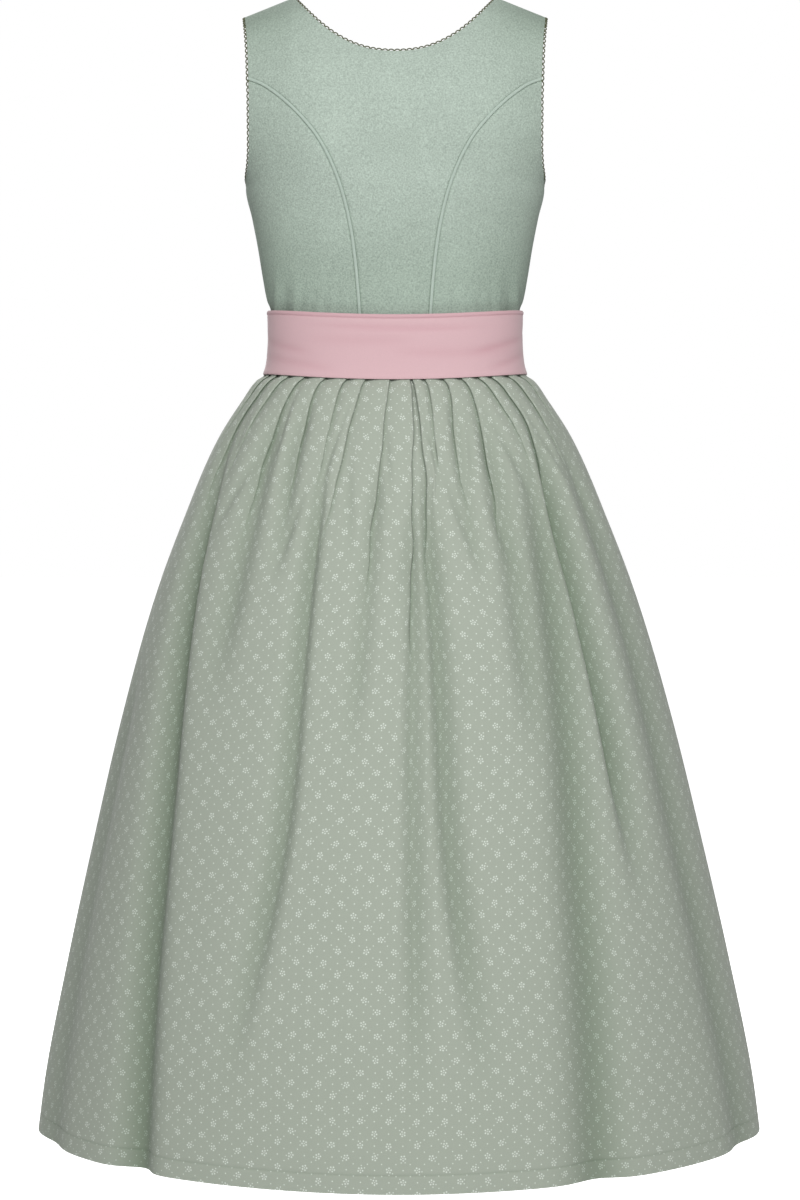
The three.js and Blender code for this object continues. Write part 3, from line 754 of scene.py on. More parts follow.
def fill(rows, columns, last_row, last_column, bottom, top, left, right):
    """Turns and drops inside a panel from its four edges. The rows at the sash keep level."""
    u = (columns / last_column)[None, :]
    v = (np.maximum(0, rows - SASH_ROWS + 1) / (last_row - SASH_ROWS + 1))[:, None]
    filled = []
    for k in range(2):
        edges = (1 - v) * bottom[k][None, :] + v * top[k][None, :]
        edges = edges + (1 - u) * left[k][:, None] + u * right[k][:, None]
        low = (1 - u) * bottom[k][0] + u * bottom[k][-1]
        high = (1 - u) * top[k][0] + u * top[k][-1]
        filled.append(edges - (1 - v) * low - v * high)
    return filled


def side_places(seam):
    """From the princess seam to the side seam, under the armhole. Its columns crowd towards both edges."""
    last_row = len(seam.drop) - 1
    rows = row_steps(last_row)
    columns = column_steps()
    left = seam_places(seam, rows)
    side_drops = np.interp(rows, [0, 1, 2, last_row], [*seam.drop[:SASH_ROWS], UNDERARM_DROP])
    right = np.full_like(rows, math.pi / 2), side_drops
    top_drop = seam.drop[-1] + columns / SIDE_COLUMNS * (UNDERARM_DROP - seam.drop[-1])
    top = np.full_like(columns, math.pi / 2), top_drop
    bottom_turn = left[0][0] + columns / SIDE_COLUMNS * (math.pi / 2 - left[0][0])
    bottom = bottom_turn, np.full_like(columns, seam.drop[0])
    return fill(rows, columns, last_row, SIDE_COLUMNS, bottom, top, left, right)


def nearness(points, drop, is_back, edges, neck):
    """How near each point lies to a seam, from 0 to 1. The neck's and the armhole's free edges stay flat."""
    seam_top = (BACK_SEAM if is_back else FRONT_SEAM).drop[-1]
    near = np.zeros(drop.shape)
    for edge in edges:
        end = slice(0, 1) if edge == "left" else slice(-1, None)
        free_above = seam_top if edge == "right" else neck["drop"] if neck else 0
        sewn = smoothstep(drop[:, end], free_above - 1, free_above + 4)
        distance = np.linalg.norm(points - points[:, end], axis=-1)
        near = np.maximum(near, sewn * np.exp(-((distance / ROLL["reach"]) ** 2)))
    return near


def puckers(points, table):
    lift = np.zeros(points.shape[:2])
    for pucker in table.each():
        aside = points[..., 0] - pucker["across"]
        height = smoothstep(-points[..., 2], pucker["top"], PUCKER_FOOT)
        lift += height * trough(aside, pucker["lift"], pucker["width"])
    return lift


def bodice_panel(places, is_back, edges, sign, neck):
    """Points of a panel, its edges rolled in towards the seams and puckered above the sash, and its painted
    shade, darker where an edge rolls in at a seam and at the sides, the waist and the shoulders.
    """
    turn, drop = places
    points = bodice_point(turn, drop, is_back)
    normals = bodice_normal(turn, drop, is_back)
    near = nearness(points, drop, is_back, edges, neck)
    points = points * [sign, 1, 1]
    normals = normals * [sign, 1, 1]
    lift = puckers(points, BACK_PUCKERS if is_back else FRONT_PUCKERS) - ROLL["depth"] * near
    # Painted shade: darker where an edge rolls in at a seam, and the soft painted shade of the sides, waist
    # and shoulders.
    crease = ROLL["dark"] * near**2 + soft_shade(points, drop)
    return points + normals * lift[..., None], np.clip(crease, 0, 1)


def soft_shade(points, drop):
    """Painted shade: the cloth is coloured darker where it turns to the sides, above the sash and on the
    shoulders.
    """
    aside = smoothstep(np.abs(points[..., 0]), SIDE_SHADE["start"], SIDE_SHADE["end"])
    low = smoothstep(drop, WAIST_SHADE["start"], WAIST_SHADE["end"])
    high = 1 - smoothstep(drop, SHOULDER_SHADE["start"], SHOULDER_SHADE["end"])
    return SIDE_SHADE["share"] * aside + WAIST_SHADE["share"] * low + SHOULDER_SHADE["share"] * high * aside


def make_bodice(sizes, colors):
    crepe = cloth_material(
        "Bodice crepe", colors.bodice, contrast=0.26, fleck_scale=620, bump=0.7, sheen=0.05
    )
    thickness = sizes.bodice_cloth / MM
    back = centre_places(BACK_SEAM, BACK_NECK)
    halves = [bodice_panel(back, True, ("right",), sign, BACK_NECK) for sign in (-1, 1)]
    make_whole_back("crepe_back_centre", halves, thickness, crepe)
    for side, sign in (("right", 1), ("left", -1)):
        edges = ("left", "right")
        cuts = [
            ("back_side", side_places(BACK_SEAM), True, None),
            ("front", centre_places(FRONT_SEAM, FRONT_NECK), False, FRONT_NECK),
            ("front_side", side_places(FRONT_SEAM), False, None),
        ]
        for cut, places, is_back, neck in cuts:
            points, crease = bodice_panel(places, is_back, edges, sign, neck)
            piece = cloth_piece(f"crepe_{cut}_{side}", points, thickness, crease=crease)
            settle(piece, [f"bodice_{cut}_{side}"], crepe)


def make_whole_back(name, halves, thickness, crepe):
    """The centre back is cut in one: both halves, merged along the centre line below the neck."""
    points = np.stack([half for half, crease in halves])
    # The painted shade of both halves.
    creases = np.stack([crease for half, crease in halves])
    faces = [faces_outward(half, grid_faces(*half.shape[:2])) for half in points]
    faces[1] = faces[1] + points[0, ..., 0].size
    piece = mesh_piece(name, points, np.concatenate(faces), crease=creases)
    use_alone(piece)
    bpy.ops.object.mode_set(mode="EDIT")
    bpy.ops.mesh.select_all(action="SELECT")
    bpy.ops.mesh.remove_doubles(threshold=2e-6)
    bpy.ops.object.mode_set(mode="OBJECT")
    thicken(piece, thickness)
    settle(piece, ["bodice_back_centre"], crepe)


# ---------------------------------------------------------------- piping and picot edging


def trim_line(points, normals, towards, closed):
    """A line with its outward directions, square to the line and in the cloth's face."""
    if closed:
        along = np.roll(points, -1, axis=0) - np.roll(points, 1, axis=0)
    else:
        along = np.gradient(points, axis=0)
    outs = unit(np.cross(unit(along), normals))
    outs = np.where(np.sum(outs * towards, axis=-1, keepdims=True) < 0, -outs, outs)
    return points, outs, normals


PIPING_FOOT = {"sunk": 0.9, "inset": 0.3}
PIPING_SIDES = 8
PIPING_ROUNDNESS = 0.8


def half_round(width, height):
    """Section of a corded strip: a low dome over a sunken foot."""
    turn = np.linspace(0, math.pi, PIPING_SIDES)
    dome = [(width / 2 * math.cos(a), height * math.sin(a) ** PIPING_ROUNDNESS) for a in turn]
    foot = width / 2 - PIPING_FOOT["inset"]
    return [*dome, (-foot, -PIPING_FOOT["sunk"]), (foot, -PIPING_FOOT["sunk"])]


def make_piping(sizes, colors):
    crepe = cloth_material(
        "Piping crepe", colors.piping, contrast=0.07, fleck_scale=900, bump=0.4, sheen=0.25
    )
    for face, is_back, seam in (("back", True, BACK_SEAM), ("front", False, FRONT_SEAM)):
        rows = row_steps(len(seam.drop) - 1)
        turn, drop = seam_places(seam, rows)
        points = bodice_point(turn, drop, is_back)
        normals = bodice_normal(turn, drop, is_back)
        for side, sign in (("right", 1), ("left", -1)):
            flip = np.array([sign, 1, 1])
            line = trim_line(points * flip, normals * flip, np.array([1.0, 0, 0]), False)
            section = half_round(sizes.piping_width / MM, sizes.piping_height / MM)
            piece = swept_piece(f"crepe_piping_{face}_{side}", line, section, False)
            settle(piece, [f"piping_{face}_{side}"], crepe)


def even_line(points, normals, pitch, closed):
    """Resamples a line to whole steps of about one pitch along it."""
    if closed:
        points = np.concatenate([points, points[:1]])
        normals = np.concatenate([normals, normals[:1]])
    way = np.concatenate([[0], np.cumsum(np.linalg.norm(np.diff(points, axis=0), axis=1))])
    steps = int(round(way[-1] / pitch))
    at = np.linspace(0, way[-1], steps + 1)
    if closed:
        at = at[:-1]
    new_points = np.stack([np.interp(at, way, points[:, k]) for k in range(3)], axis=1)
    new_normals = unit(np.stack([np.interp(at, way, normals[:, k]) for k in range(3)], axis=1))
    return new_points, new_normals


def edge_line(kind):
    """The neck's or the armhole's edge: points and normals in order, starting at the back."""
    if kind == "neck":
        across = np.linspace(0, NECK_HALF_WIDTH, 200)
        back, front = neckline_drop(BACK_NECK, across), neckline_drop(FRONT_NECK, across)[::-1]
        turns = turn_at(across, back), turn_at(across[::-1], front)
    else:
        back = np.linspace(UNDERARM_DROP, ARMHOLE.drop[0], 300)
        front = back[::-1]
        turns = np.full_like(back, math.pi / 2), np.full_like(back, math.pi / 2)
    points = np.concatenate([bodice_point(turns[0], back, True), bodice_point(turns[1], front, False)[1:]])
    normals = np.concatenate([bodice_normal(turns[0], back, True), bodice_normal(turns[1], front, False)[1:]])
    if kind == "armhole":
        return points[:-1], normals[:-1]
    flip = np.array([-1, 1, 1])
    both_sides = [np.concatenate([(half * flip)[:0:-1], half]) for half in (points, normals)]
    return both_sides[0], both_sides[1]


# A loop of the edging: its ring's radius as a share of the pitch, where it is cut, and how it is drawn out.
PICOT_LOOP = {"radius": 0.37, "cut": -0.0002, "drawn": (1.14, 0.95, 1), "segments": 12, "sides": 5}
# The foot of a loop from the edge, outward and down, and the loops' band: steps outward and heights.
PICOT_FOOT = {"out": 0.35, "down": 0.5}
PICOT_BAND = [(-0.5, -0.2), (0.1, 0), (0.45, -0.3), (0.5, -0.8), (0.1, -1.2), (-0.5, -1.2)]
STEPS_PER_LOOP = 4


def picot_loop(sizes):
    """One loop of the edging, half a small ring of thread, lying in the XY plane with its foot on X."""
    deselect()
    bpy.ops.mesh.primitive_torus_add(
        major_segments=PICOT_LOOP["segments"],
        minor_segments=PICOT_LOOP["sides"],
        major_radius=sizes.picot_pitch * PICOT_LOOP["radius"],
        minor_radius=sizes.picot_thread / 2,
    )
    loop = bpy.context.object
    bpy.ops.object.mode_set(mode="EDIT")
    bpy.ops.mesh.select_all(action="SELECT")
    cut = (0, PICOT_LOOP["cut"], 0)
    bpy.ops.mesh.bisect(plane_co=cut, plane_no=(0, 1, 0), clear_inner=True, use_fill=True)
    bpy.ops.mesh.select_all(action="SELECT")
    bpy.ops.transform.resize(value=PICOT_LOOP["drawn"], center_override=(0, 0, 0))
    bpy.ops.object.mode_set(mode="OBJECT")
    loop.data.transform(loop.matrix_world)
    points = np.array([v.co for v in loop.data.vertices]) / MM
    faces = [list(p.vertices) for p in loop.data.polygons]
    bpy.data.objects.remove(loop)
    return points, faces


def add_mesh(piece, points, faces):
    """Joins more faces, from points in millimetres, to a piece's mesh."""
    more = bpy.data.meshes.new(piece.name + "_more")
    more.from_pydata((points * MM).tolist(), [], faces)
    both = bmesh.new()
    both.from_mesh(piece.data)
    both.from_mesh(more)
    both.to_mesh(piece.data)
    both.free()
    bpy.data.meshes.remove(more)
    piece.data.shade_smooth()


def loops_along(line, loop, first, last):
    """Copies of a loop at every pitch of a line, as points and faces."""
    loop_points, loop_faces = loop
    vertices, faces = [], []
    for place, out, lift in list(zip(*line))[first:last:STEPS_PER_LOOP]:
        foot = place + out * PICOT_FOOT["out"] - lift * PICOT_FOOT["down"]
        axes = np.stack([unit(np.cross(lift, out)), out, lift])
        start = len(vertices) * len(loop_points)
        faces += [[start + corner for corner in face] for face in loop_faces]
        vertices.append(foot + loop_points @ axes)
    return np.concatenate(vertices), faces


def make_picot(sizes, colors):
    thread = cloth_material(
        "Picot thread", colors.picot, contrast=0.2, fleck_scale=1500, bump=0.5, sheen=0.1
    )
    loop = picot_loop(sizes)
    step = sizes.picot_pitch / MM / STEPS_PER_LOOP
    edges = [
        ("neck_picot", "neck_edging", "neck", 1),
        ("armhole_picot_right", "armhole_edging_right", "armhole", 1),
        ("armhole_picot_left", "armhole_edging_left", "armhole", -1),
    ]
    for name, node, kind, sign in edges:
        closed = kind == "armhole"
        points, normals = edge_line(kind)
        fine, normals = even_line(points * [sign, 1, 1], normals * [sign, 1, 1], step, closed)
        middle = fine.mean(axis=0) if closed else np.zeros(3)
        line = trim_line(fine, normals, middle - fine, closed)
        piece = swept_piece(name, line, PICOT_BAND, closed)
        first = STEPS_PER_LOOP // 2
        add_mesh(piece, *loops_along(line, loop, first, None if closed else -first))
        settle(piece, [node], thread)


# ---------------------------------------------------------------- skirt

# The cut of one panel and, up from its lower edge, the line of stitches that holds the hem.
CLOTH_WIDTH = 1097
HEM_STITCH = 17.5
FACE_COLUMNS = 12
PRINT_STRENGTH = 0.85
PLEAT_LEVELS = (392, 470, 580, 760, HEM_DROP)

# Folded edges of the knife pleats: angles at the pleat levels, which way the edge faces, and the drop by
# which it has opened out. An edge that faces 1 lies over the cloth on its right.
BACK_PLEATS = Table("waist seat thigh knee hem faces open", [
    (-84, -84.5, -85, -85.5, -86, 1, 470),
    (-78, -79, -79, -79, -79, 1, 500),
    (-71, -73.5, -70, -70, -71, 1, 560),
    (-63, -64, -61, -61, -62.5, 1, 520),
    (-54, -52.5, -50, -51, -53, 1, 580),
    (-43, -39.5, -37, -39, -43, 1, 560),
    (-31, -28.4, -29, -30, -32.5, 1, 530),
    (-20, -21.2, -24, -22, -21, 1, 600),
    (-4.5, -6.6, -8.6, -10, -10, 1, 640),
    (8.6, 6.4, 4.6, 3.4, 3, 1, 700),
    (12.2, 12.4, 10.2, 10.4, 11, -1, 640),
    (20, 16.5, 15.5, 17, 19, -1, 520),
    (31, 25.2, 25.6, 27, 29, -1, 560),
    (41, 37.4, 34, 36, 38.5, -1, 600),
    (50, 52, 49.5, 48.5, 48.5, -1, 520),
    (57, 59, 55.5, 56, 58, -1, 620),
    (67, 68.5, 66.5, 67, 68, -1, 520),
    (76, 77, 76.5, 77, 77.5, -1, 480),
])
FRONT_PLEATS = Table("waist seat thigh knee hem faces open", [
    (96, 96, 96, 96.5, 97, 1, 490),
    (104, 104.5, 105, 105.5, 106, 1, 560),
    (112, 114, 115, 116, 116, 1, 600),
    (121, 123, 125, 126, 126, 1, 520),
    (131, 133.5, 135, 136, 136.5, 1, 580),
    (142, 143, 145, 147, 147, 1, 540),
    (154, 154, 155, 157, 158, 1, 620),
    (167, 166, 167, 168, 169, 1, 540),
    (178.6, 177, 176, 176, 176, 1, 660),
    (182.4, 184, 185, 185, 184, -1, 640),
    (193, 195, 194, 193, 194, -1, 560),
    (206, 207, 205.5, 205, 204.5, -1, 600),
    (218, 219, 217, 215.5, 215, -1, 530),
    (229, 230, 228, 226, 225.5, -1, 610),
    (239, 240, 238.5, 237, 236, -1, 540),
    (248, 249.5, 248, 247, 246, -1, 590),
    (256, 257, 256.5, 256, 255.5, -1, 510),
    (264, 264, 264, 264, 264, -1, 480),
])
# The fold at a crisp edge that faces 1: steps to the right and heights, where its points lie once it is open,
# and how much painted shade darkens them, for the shade under the folded edge.
FOLD_STEPS = np.array([-3.0, 0.6, 1.9, 1.1, -2.4, -0.8, 3.2])
FOLD_HEIGHTS = np.array([0.0, 0.0, -0.9, -1.7, -2.5, -3.3, -3.6])
OPEN_STEPS = np.linspace(-3.2, 3.2, len(FOLD_STEPS))
FOLD_PAINTED_SHADE = np.array([0, 0, 0.3, 0.9, 1, 0.8, 0.25])
# How far above its opened place a folded edge begins to soften, and how far a face swells between two edges.
OPENING_LENGTH = 150
PLEAT_CROWN = 1.1
# A pleat's edge is pressed by hand and strays in waves: how far, over which length, and how much the wave is
# turned from one pleat to the next.
STRAYS = Table("degrees length turn", [(0.3, 21, 2.1), (0.2, 9.5, 1.3)])
STRAY_START = {"none": 392, "full": 450}
# The dent along the hem's stitches, and the turn inwards at a side seam, whose reach is in degrees.
HEM_DENT = {"depth": 0.5, "reach": 0.9}
SIDE_TURN = {"depth": 1.2, "reach": 0.35}
# The painted shade for each millimetre of depth.
PAINTED_SHADE_PER_MM = {"hollow": 0.8 / 15, "hem": 0.5, "side": 0.5}

# Small soft dents where the pleats open out: angle and drop of the middle, half height, half width in
# degrees, depth, and how many degrees to the right it leans on the way down its half height.
DENTS = Table("angle drop tall wide depth lean", [
    (-66, 452, 34, 1.8, 2.6, 2.5),
    (-57, 505, 40, 2.0, 3.0, -3),
    (-49, 440, 30, 1.4, 2.4, 1.5),
    (-41, 486, 36, 1.8, 3.2, 2),
    (-34, 540, 40, 1.7, 2.6, -2),
    (-25, 455, 32, 1.3, 2.2, -1.5),
    (-16, 520, 44, 1.6, 2.4, 2),
    (-3, 470, 30, 1.2, 2.0, 1),
    (3, 575, 46, 1.7, 2.8, -1.5),
    (15, 455, 34, 1.4, 2.6, 2),
    (22, 530, 42, 1.8, 3.0, 3),
    (30, 470, 34, 1.5, 2.6, -2),
    (36, 560, 44, 1.8, 2.8, 2.5),
    (46, 470, 40, 1.9, 3.4, 3),
    (55, 545, 44, 2.0, 3.0, -2),
    (63, 460, 36, 1.8, 2.8, 2.5),
    (73, 520, 40, 2.0, 2.6, 2),
    (108, 470, 36, 1.8, 2.6, 2),
    (124, 520, 42, 2.0, 3.0, -2.5),
    (138, 460, 34, 1.7, 2.6, 2),
    (150, 535, 44, 1.9, 3.0, 2),
    (166, 470, 36, 1.5, 2.4, -2),
    (189, 510, 40, 1.7, 2.6, 2),
    (202, 455, 34, 1.8, 2.8, -2),
    (215, 540, 44, 2.0, 3.0, 2.5),
    (233, 480, 38, 1.8, 2.8, -2),
    (251, 530, 42, 1.9, 2.6, 2),
])

# Long soft folds that the pleats run out into: angles at the top, halfway down and at the bottom. One that
# leans 1 is steep on its right side.
HOLLOWS = Table("start end top middle bottom depth width lean", [
    (640, 1240, -80, -78, -76, 7, 5, 0),
    (400, 1240, -74, -57, -51, 17, 3.8, 0),
    (400, 730, -54, -48, -47, 7, 4, 0),
    (400, 610, -43, -38, -35, 5, 3, 0),
    (430, 1110, -27, -25, -34, 10, 3.2, 1),
    (450, 790, -6, -8.5, -12, 5, 2.6, 0),
    (470, 1130, 7, 3.5, 3, 7, 2.8, -1),
    (450, 1110, 11, 11, 17, 10, 3.4, -1),
    (400, 620, 29, 25, 26, 4, 2.6, 0),
    (400, 790, 40, 35.5, 33, 7, 3.8, 0),
    (420, 1240, 52, 42, 38, 13, 6.0, 1),
    (420, 930, 59, 54.5, 54, 17, 3.6, -1),
    (392, 1180, 71, 70, 75, 9, 5, 0),
    (400, 1240, 112, 116, 118, 13, 5.5, -1),
    (400, 820, 131, 133, 136, 8, 4, 0),
    (420, 1140, 154, 152, 149, 11, 5, -1),
    (440, 1000, 178, 177, 174, 8, 4, 1),
    (420, 1240, 206, 203, 206, 12, 5, 1),
    (400, 860, 229, 226, 224, 8, 4, 0),
    (420, 1240, 248, 245, 247, 14, 5.5, 1),
])
STEEP_SHARE = 0.7
# The shares of a hollow's length over which it deepens, and from which it fades out.
HOLLOW_START = 0.22
HOLLOW_FADE = 0.66
# How much cloth a hollow takes up for each millimetre of its depth, where a folded edge counts 1, how quickly
# across its width, and the least weight that a row's spare cloth is divided by.
TAKE_UP = {"per_mm": 0.1, "steepness": 1.3, "least": 0.2}


def outline(angle, drop, extra):
    """Points of the dress's plain outline below the waist, moved out or in by the extra."""
    turn = np.radians(angle)
    is_back = np.cos(turn) > 0
    power = girth_power(drop)
    half = girth_half(drop) + extra
    depth = section_depth(drop, is_back) + extra
    across = (np.abs(np.sin(turn)) / half) ** power
    along = (np.abs(np.cos(turn)) / depth) ** power
    reach = (across + along) ** (-1 / power)
    drift = SKIRT_DRIFT * smoothstep(drop, DIP_FADE["end"], HEM_DROP)
    dip = waist_dip(drop, reach * np.sin(turn) / half, is_back)
    return np.stack([reach * np.sin(turn) + drift, -reach * np.cos(turn), -drop - dip + 0 * angle], axis=-1)


def hollow_places(hollow, drop):
    """The line of a hollow down the skirt, and its strength there from 0 to 1."""
    share = (drop - hollow["start"]) / (hollow["end"] - hollow["start"])
    line = smooth_line([0, 0.5, 1], [hollow["top"], hollow["middle"], hollow["bottom"]])(share)
    begun = smoothstep(share, 0, HOLLOW_START)
    left = 1 - smoothstep(share, HOLLOW_FADE, 1) if hollow["end"] <= HEM_DROP else 1
    return line, begun * left * (share > 0)


def hollow_depth(angle, drop):
    depth = np.zeros(np.broadcast(angle, drop).shape)
    for hollow in HOLLOWS.each():
        line, strength = hollow_places(hollow, drop)
        aside = (angle - line) / hollow["width"]
        if hollow["lean"]:
            aside = np.where(aside * hollow["lean"] > 0, aside / STEEP_SHARE, aside)
        depth += hollow["depth"] * strength * np.exp(-(aside**2))
    return depth


def dents(angle, drop):
    depth = np.zeros(np.broadcast(angle, drop).shape)
    for dent in DENTS.each():
        down = (drop - dent["drop"]) / dent["tall"]
        aside = (angle - dent["angle"] - dent["lean"] * down) / dent["wide"]
        depth += dent["depth"] * np.exp(-(down**2) - aside**2)
    return depth


def skirt_drops():
    top = np.linspace(SKIRT_TOP, 390, 5)[:-1]
    pleated = np.arange(390, 590, 3.7)
    stitched = HEM_DROP - HEM_STITCH + np.array([-3, -1.4, -0.5, 0.5, 1.4, 3])
    lower = np.linspace(pleated[-1], stitched[0] - 3, 64)[1:]
    foot = HEM_DROP + np.array([-9, -4, -1.2, -0.3, 0])
    return np.concatenate([top, pleated, lower, stitched, foot])


def skirt_grid(pleats, start, end):
    """Points, cloth places and painted shade of a skirt panel. Columns run across its faces and through every
    fold.
    """
    drop = skirt_drops()[:, None]
    levels = [pleats.waist, pleats.seat, pleats.thigh, pleats.knee, pleats.hem]
    edges = [
        smooth_line(PLEAT_LEVELS, angles)(drop) + pleat_waver(drop, number)
        for number, angles in enumerate(np.array(levels).T)
    ]
    crisp = [1 - smoothstep(drop, opened - OPENING_LENGTH, opened) for opened in pleats.open]
    faces_right = pleats.faces > 0
    base, shift, height, fold_share, fold_shade = [], [], [], [], []
    face_share = np.arange(FACE_COLUMNS) / FACE_COLUMNS
    for k in range(len(edges) + 1):
        left = edges[k - 1] if k else np.full_like(drop, start)
        right = edges[k] if k < len(edges) else np.full_like(drop, end)
        sunk = FOLD_HEIGHTS[-1]
        low_left = sunk * crisp[k - 1] if k and faces_right[k - 1] else 0
        low_right = sunk * crisp[k] if k < len(edges) and not faces_right[k] else 0
        fullness = np.maximum(crisp[max(0, k - 1)], crisp[min(k, len(crisp) - 1)])
        left_room = OPEN_STEPS[-1] / mm_per_degree(left, drop) if k else 0
        right_room = OPEN_STEPS[-1] / mm_per_degree(right, drop) if k < len(edges) else 0
        share = face_share[None, 1:]
        if k == 0 or k == len(edges):
            ends = [0, *face_share[1:]] if k == 0 else [*face_share[1:], 1]
            share = np.array(ends)[None, :]
        base.append(left + left_room + share * (right - right_room - left - left_room))
        shift.append(np.zeros_like(base[-1]))
        crown = PLEAT_CROWN * fullness * np.sin(math.pi * share)
        height.append(low_left * (1 - share) + low_right * share + crown)
        fold_share.append(np.full_like(base[-1], k))
        fold_shade.append(np.zeros_like(base[-1]))
        if k == len(edges):
            break
        steps = FOLD_STEPS if faces_right[k] else -FOLD_STEPS[::-1]
        heights = FOLD_HEIGHTS if faces_right[k] else FOLD_HEIGHTS[::-1]
        base.append(edges[k] + OPEN_STEPS / mm_per_degree(edges[k], drop))
        shift.append(crisp[k] * (steps - OPEN_STEPS))
        height.append(crisp[k] * heights)
        fold_share.append(k + np.linspace(0, 1, len(steps)) + 0 * drop)
        fold_shade.append(crisp[k] * (FOLD_PAINTED_SHADE if faces_right[k] else FOLD_PAINTED_SHADE[::-1]))
    columns = [np.concatenate(part, axis=1) for part in (base, shift, height, fold_share, fold_shade)]
    base, shift, height, fold_share, fold_shade = columns
    angle = base + shift / mm_per_degree(base, drop)
    depths = {
        "hollow": hollow_depth(angle, drop) + dents(angle, drop),
        "hem": trough(drop - HEM_DROP + HEM_STITCH, **HEM_DENT),
        "side": trough(np.minimum(base - start, end - base), **SIDE_TURN),
    }
    points = outline(angle, drop, height - sum(depths.values()))
    # Painted shade: darker under each folded edge, in the hollows and dents, along the hem's stitches and at
    # the side seams.
    crease = fold_shade + sum(PAINTED_SHADE_PER_MM[kind] * depth for kind, depth in depths.items())
    return points, cloth_places(base, drop, fold_share, np.hstack(crisp), start, end), np.clip(crease, 0, 1)


def pleat_waver(drop, number):
    """How many degrees a pleat's edge strays below the sash."""
    stray = 0
    for wave in STRAYS.each():
        stray = stray + wave["degrees"] * np.sin(drop / wave["length"] + wave["turn"] * number)
    return stray * smoothstep(drop, STRAY_START["none"], STRAY_START["full"])


def mm_per_degree(angle, drop):
    """How long the outline is for each degree."""
    ahead, behind = outline(angle + 0.5, drop, 0), outline(angle - 0.5, drop, 0)
    return np.linalg.norm(ahead - behind, axis=-1)


def cloth_places(base, drop, fold_share, crisp, start, end):
    """Where each point lies on the flat cloth. What the outline leaves over is taken up by the folds."""
    plain = outline(base, drop, 0)
    steps = np.linalg.norm(np.diff(plain, axis=1), axis=-1)
    across = np.concatenate([np.zeros((len(base), 1)), np.cumsum(steps, axis=1)], axis=1)
    spare = CLOTH_WIDTH - across[:, -1:]
    taken = np.zeros_like(base)
    weights = np.zeros_like(drop)
    for k in range(crisp.shape[1]):
        weight = crisp[:, k : k + 1]
        taken += weight * np.clip(fold_share - k, 0, 1)
        weights += weight
    for hollow in HOLLOWS.each():
        line, strength = hollow_places(hollow, drop)
        if not start < hollow["middle"] < end:
            continue
        weight = strength * hollow["depth"] * TAKE_UP["per_mm"]
        taken += weight * (1 + np.tanh((base - line) / hollow["width"] * TAKE_UP["steepness"])) / 2
        weights += weight
    across = across + spare * taken / np.maximum(weights, TAKE_UP["least"])
    down = np.linalg.norm(np.diff(plain, axis=0), axis=-1)
    up = np.concatenate([np.cumsum(down[::-1], axis=0)[::-1], np.zeros((1, base.shape[1]))])
    return np.stack([across, up], axis=-1) * MM


def make_skirt(sizes, colors):
    printed = {
        "across": sizes.print_across / 2,
        "down": sizes.print_down / 2,
        "color": colors.print,
        "strength": PRINT_STRENGTH,
    }
    cotton = cloth_material(
        "Printed cotton",
        colors.skirt,
        contrast=0.05,
        fleck_scale=1100,
        bump=0.25,
        sheen=0.15,
        patch=0.15,
        printed=printed,
    )
    panels = [
        ("cotton_skirt_back", "skirt_back", BACK_PLEATS, -90, 90),
        ("cotton_skirt_front", "skirt_front", FRONT_PLEATS, 90, 270),
    ]
    for name, node, pleats, start, end in panels:
        points, places, crease = skirt_grid(pleats, start, end)
        piece = cloth_piece(name, points, sizes.skirt_cloth / MM, uv=places, crease=crease)
        settle(piece, [node], cotton)


# ---------------------------------------------------------------- sash

# The sash's edges, the angle where it starts, its lap, how far and over how many degrees the lap lifts, and
# how far the sash stands off the form.
SASH = {"top": 322.5, "bottom": 388, "start": 160, "lap": 26, "lift": 1.7, "rise": 24, "stand": 3.7}
# The line of stitches below the top edge, and what is folded in above it: how thick, and where the step lies.
SASH_HEM = 4.2
SASH_FOLD = {"thick": 0.5, "above": 0.4, "below": 1.2}
# Groove of the stitches and rounding of the two edges.
SASH_GROOVE = {"depth": 0.55, "reach": 0.7}
SASH_TOP_ROUND = {"depth": 0.9, "reach": 0.8}
SASH_FOOT_ROUND = {"depth": 0.9, "reach": 0.9}
# The painted shade above the stitches, and for each millimetre of the groove and of the creases.
SASH_SHADE = {"fold": 0.25, "groove": 0.5, "crease": 0.45}
# Rows of points across the sash: down from its top edge, and up from its bottom edge.
SASH_TOP_ROWS = [0, 0.4, 1.2, 2.4, 3.4, 3.9, SASH_HEM, 4.6, 5.4, 7]
SASH_FOOT_ROWS = [2.2, 1, 0.3, 0]
# Soft creases of the sash: centre angle and height below its top edge, half length in degrees, half width
# in millimetres, how deep, and how far it slants down for each degree.
SASH_CREASES = Table("angle down long wide depth slant", [
    (362, 14, 46, 2.6, 0.7, 0.02),
    (340, 27, 30, 5, 0.35, -0.03),
    (395, 40, 34, 5, 0.4, 0.05),
    (425, 34, 16, 3.6, 0.8, -0.35),
    (431, 50, 14, 3.4, 0.7, -0.45),
    (292, 36, 16, 4, 0.6, 0.3),
    (300, 52, 20, 4, 0.5, 0.2),
    (240, 30, 30, 4.5, 0.5, -0.06),
    (470, 24, 30, 4, 0.5, 0.08),
    (500, 45, 26, 5, 0.5, -0.08),
    (200, 20, 26, 4, 0.5, 0.1),
])


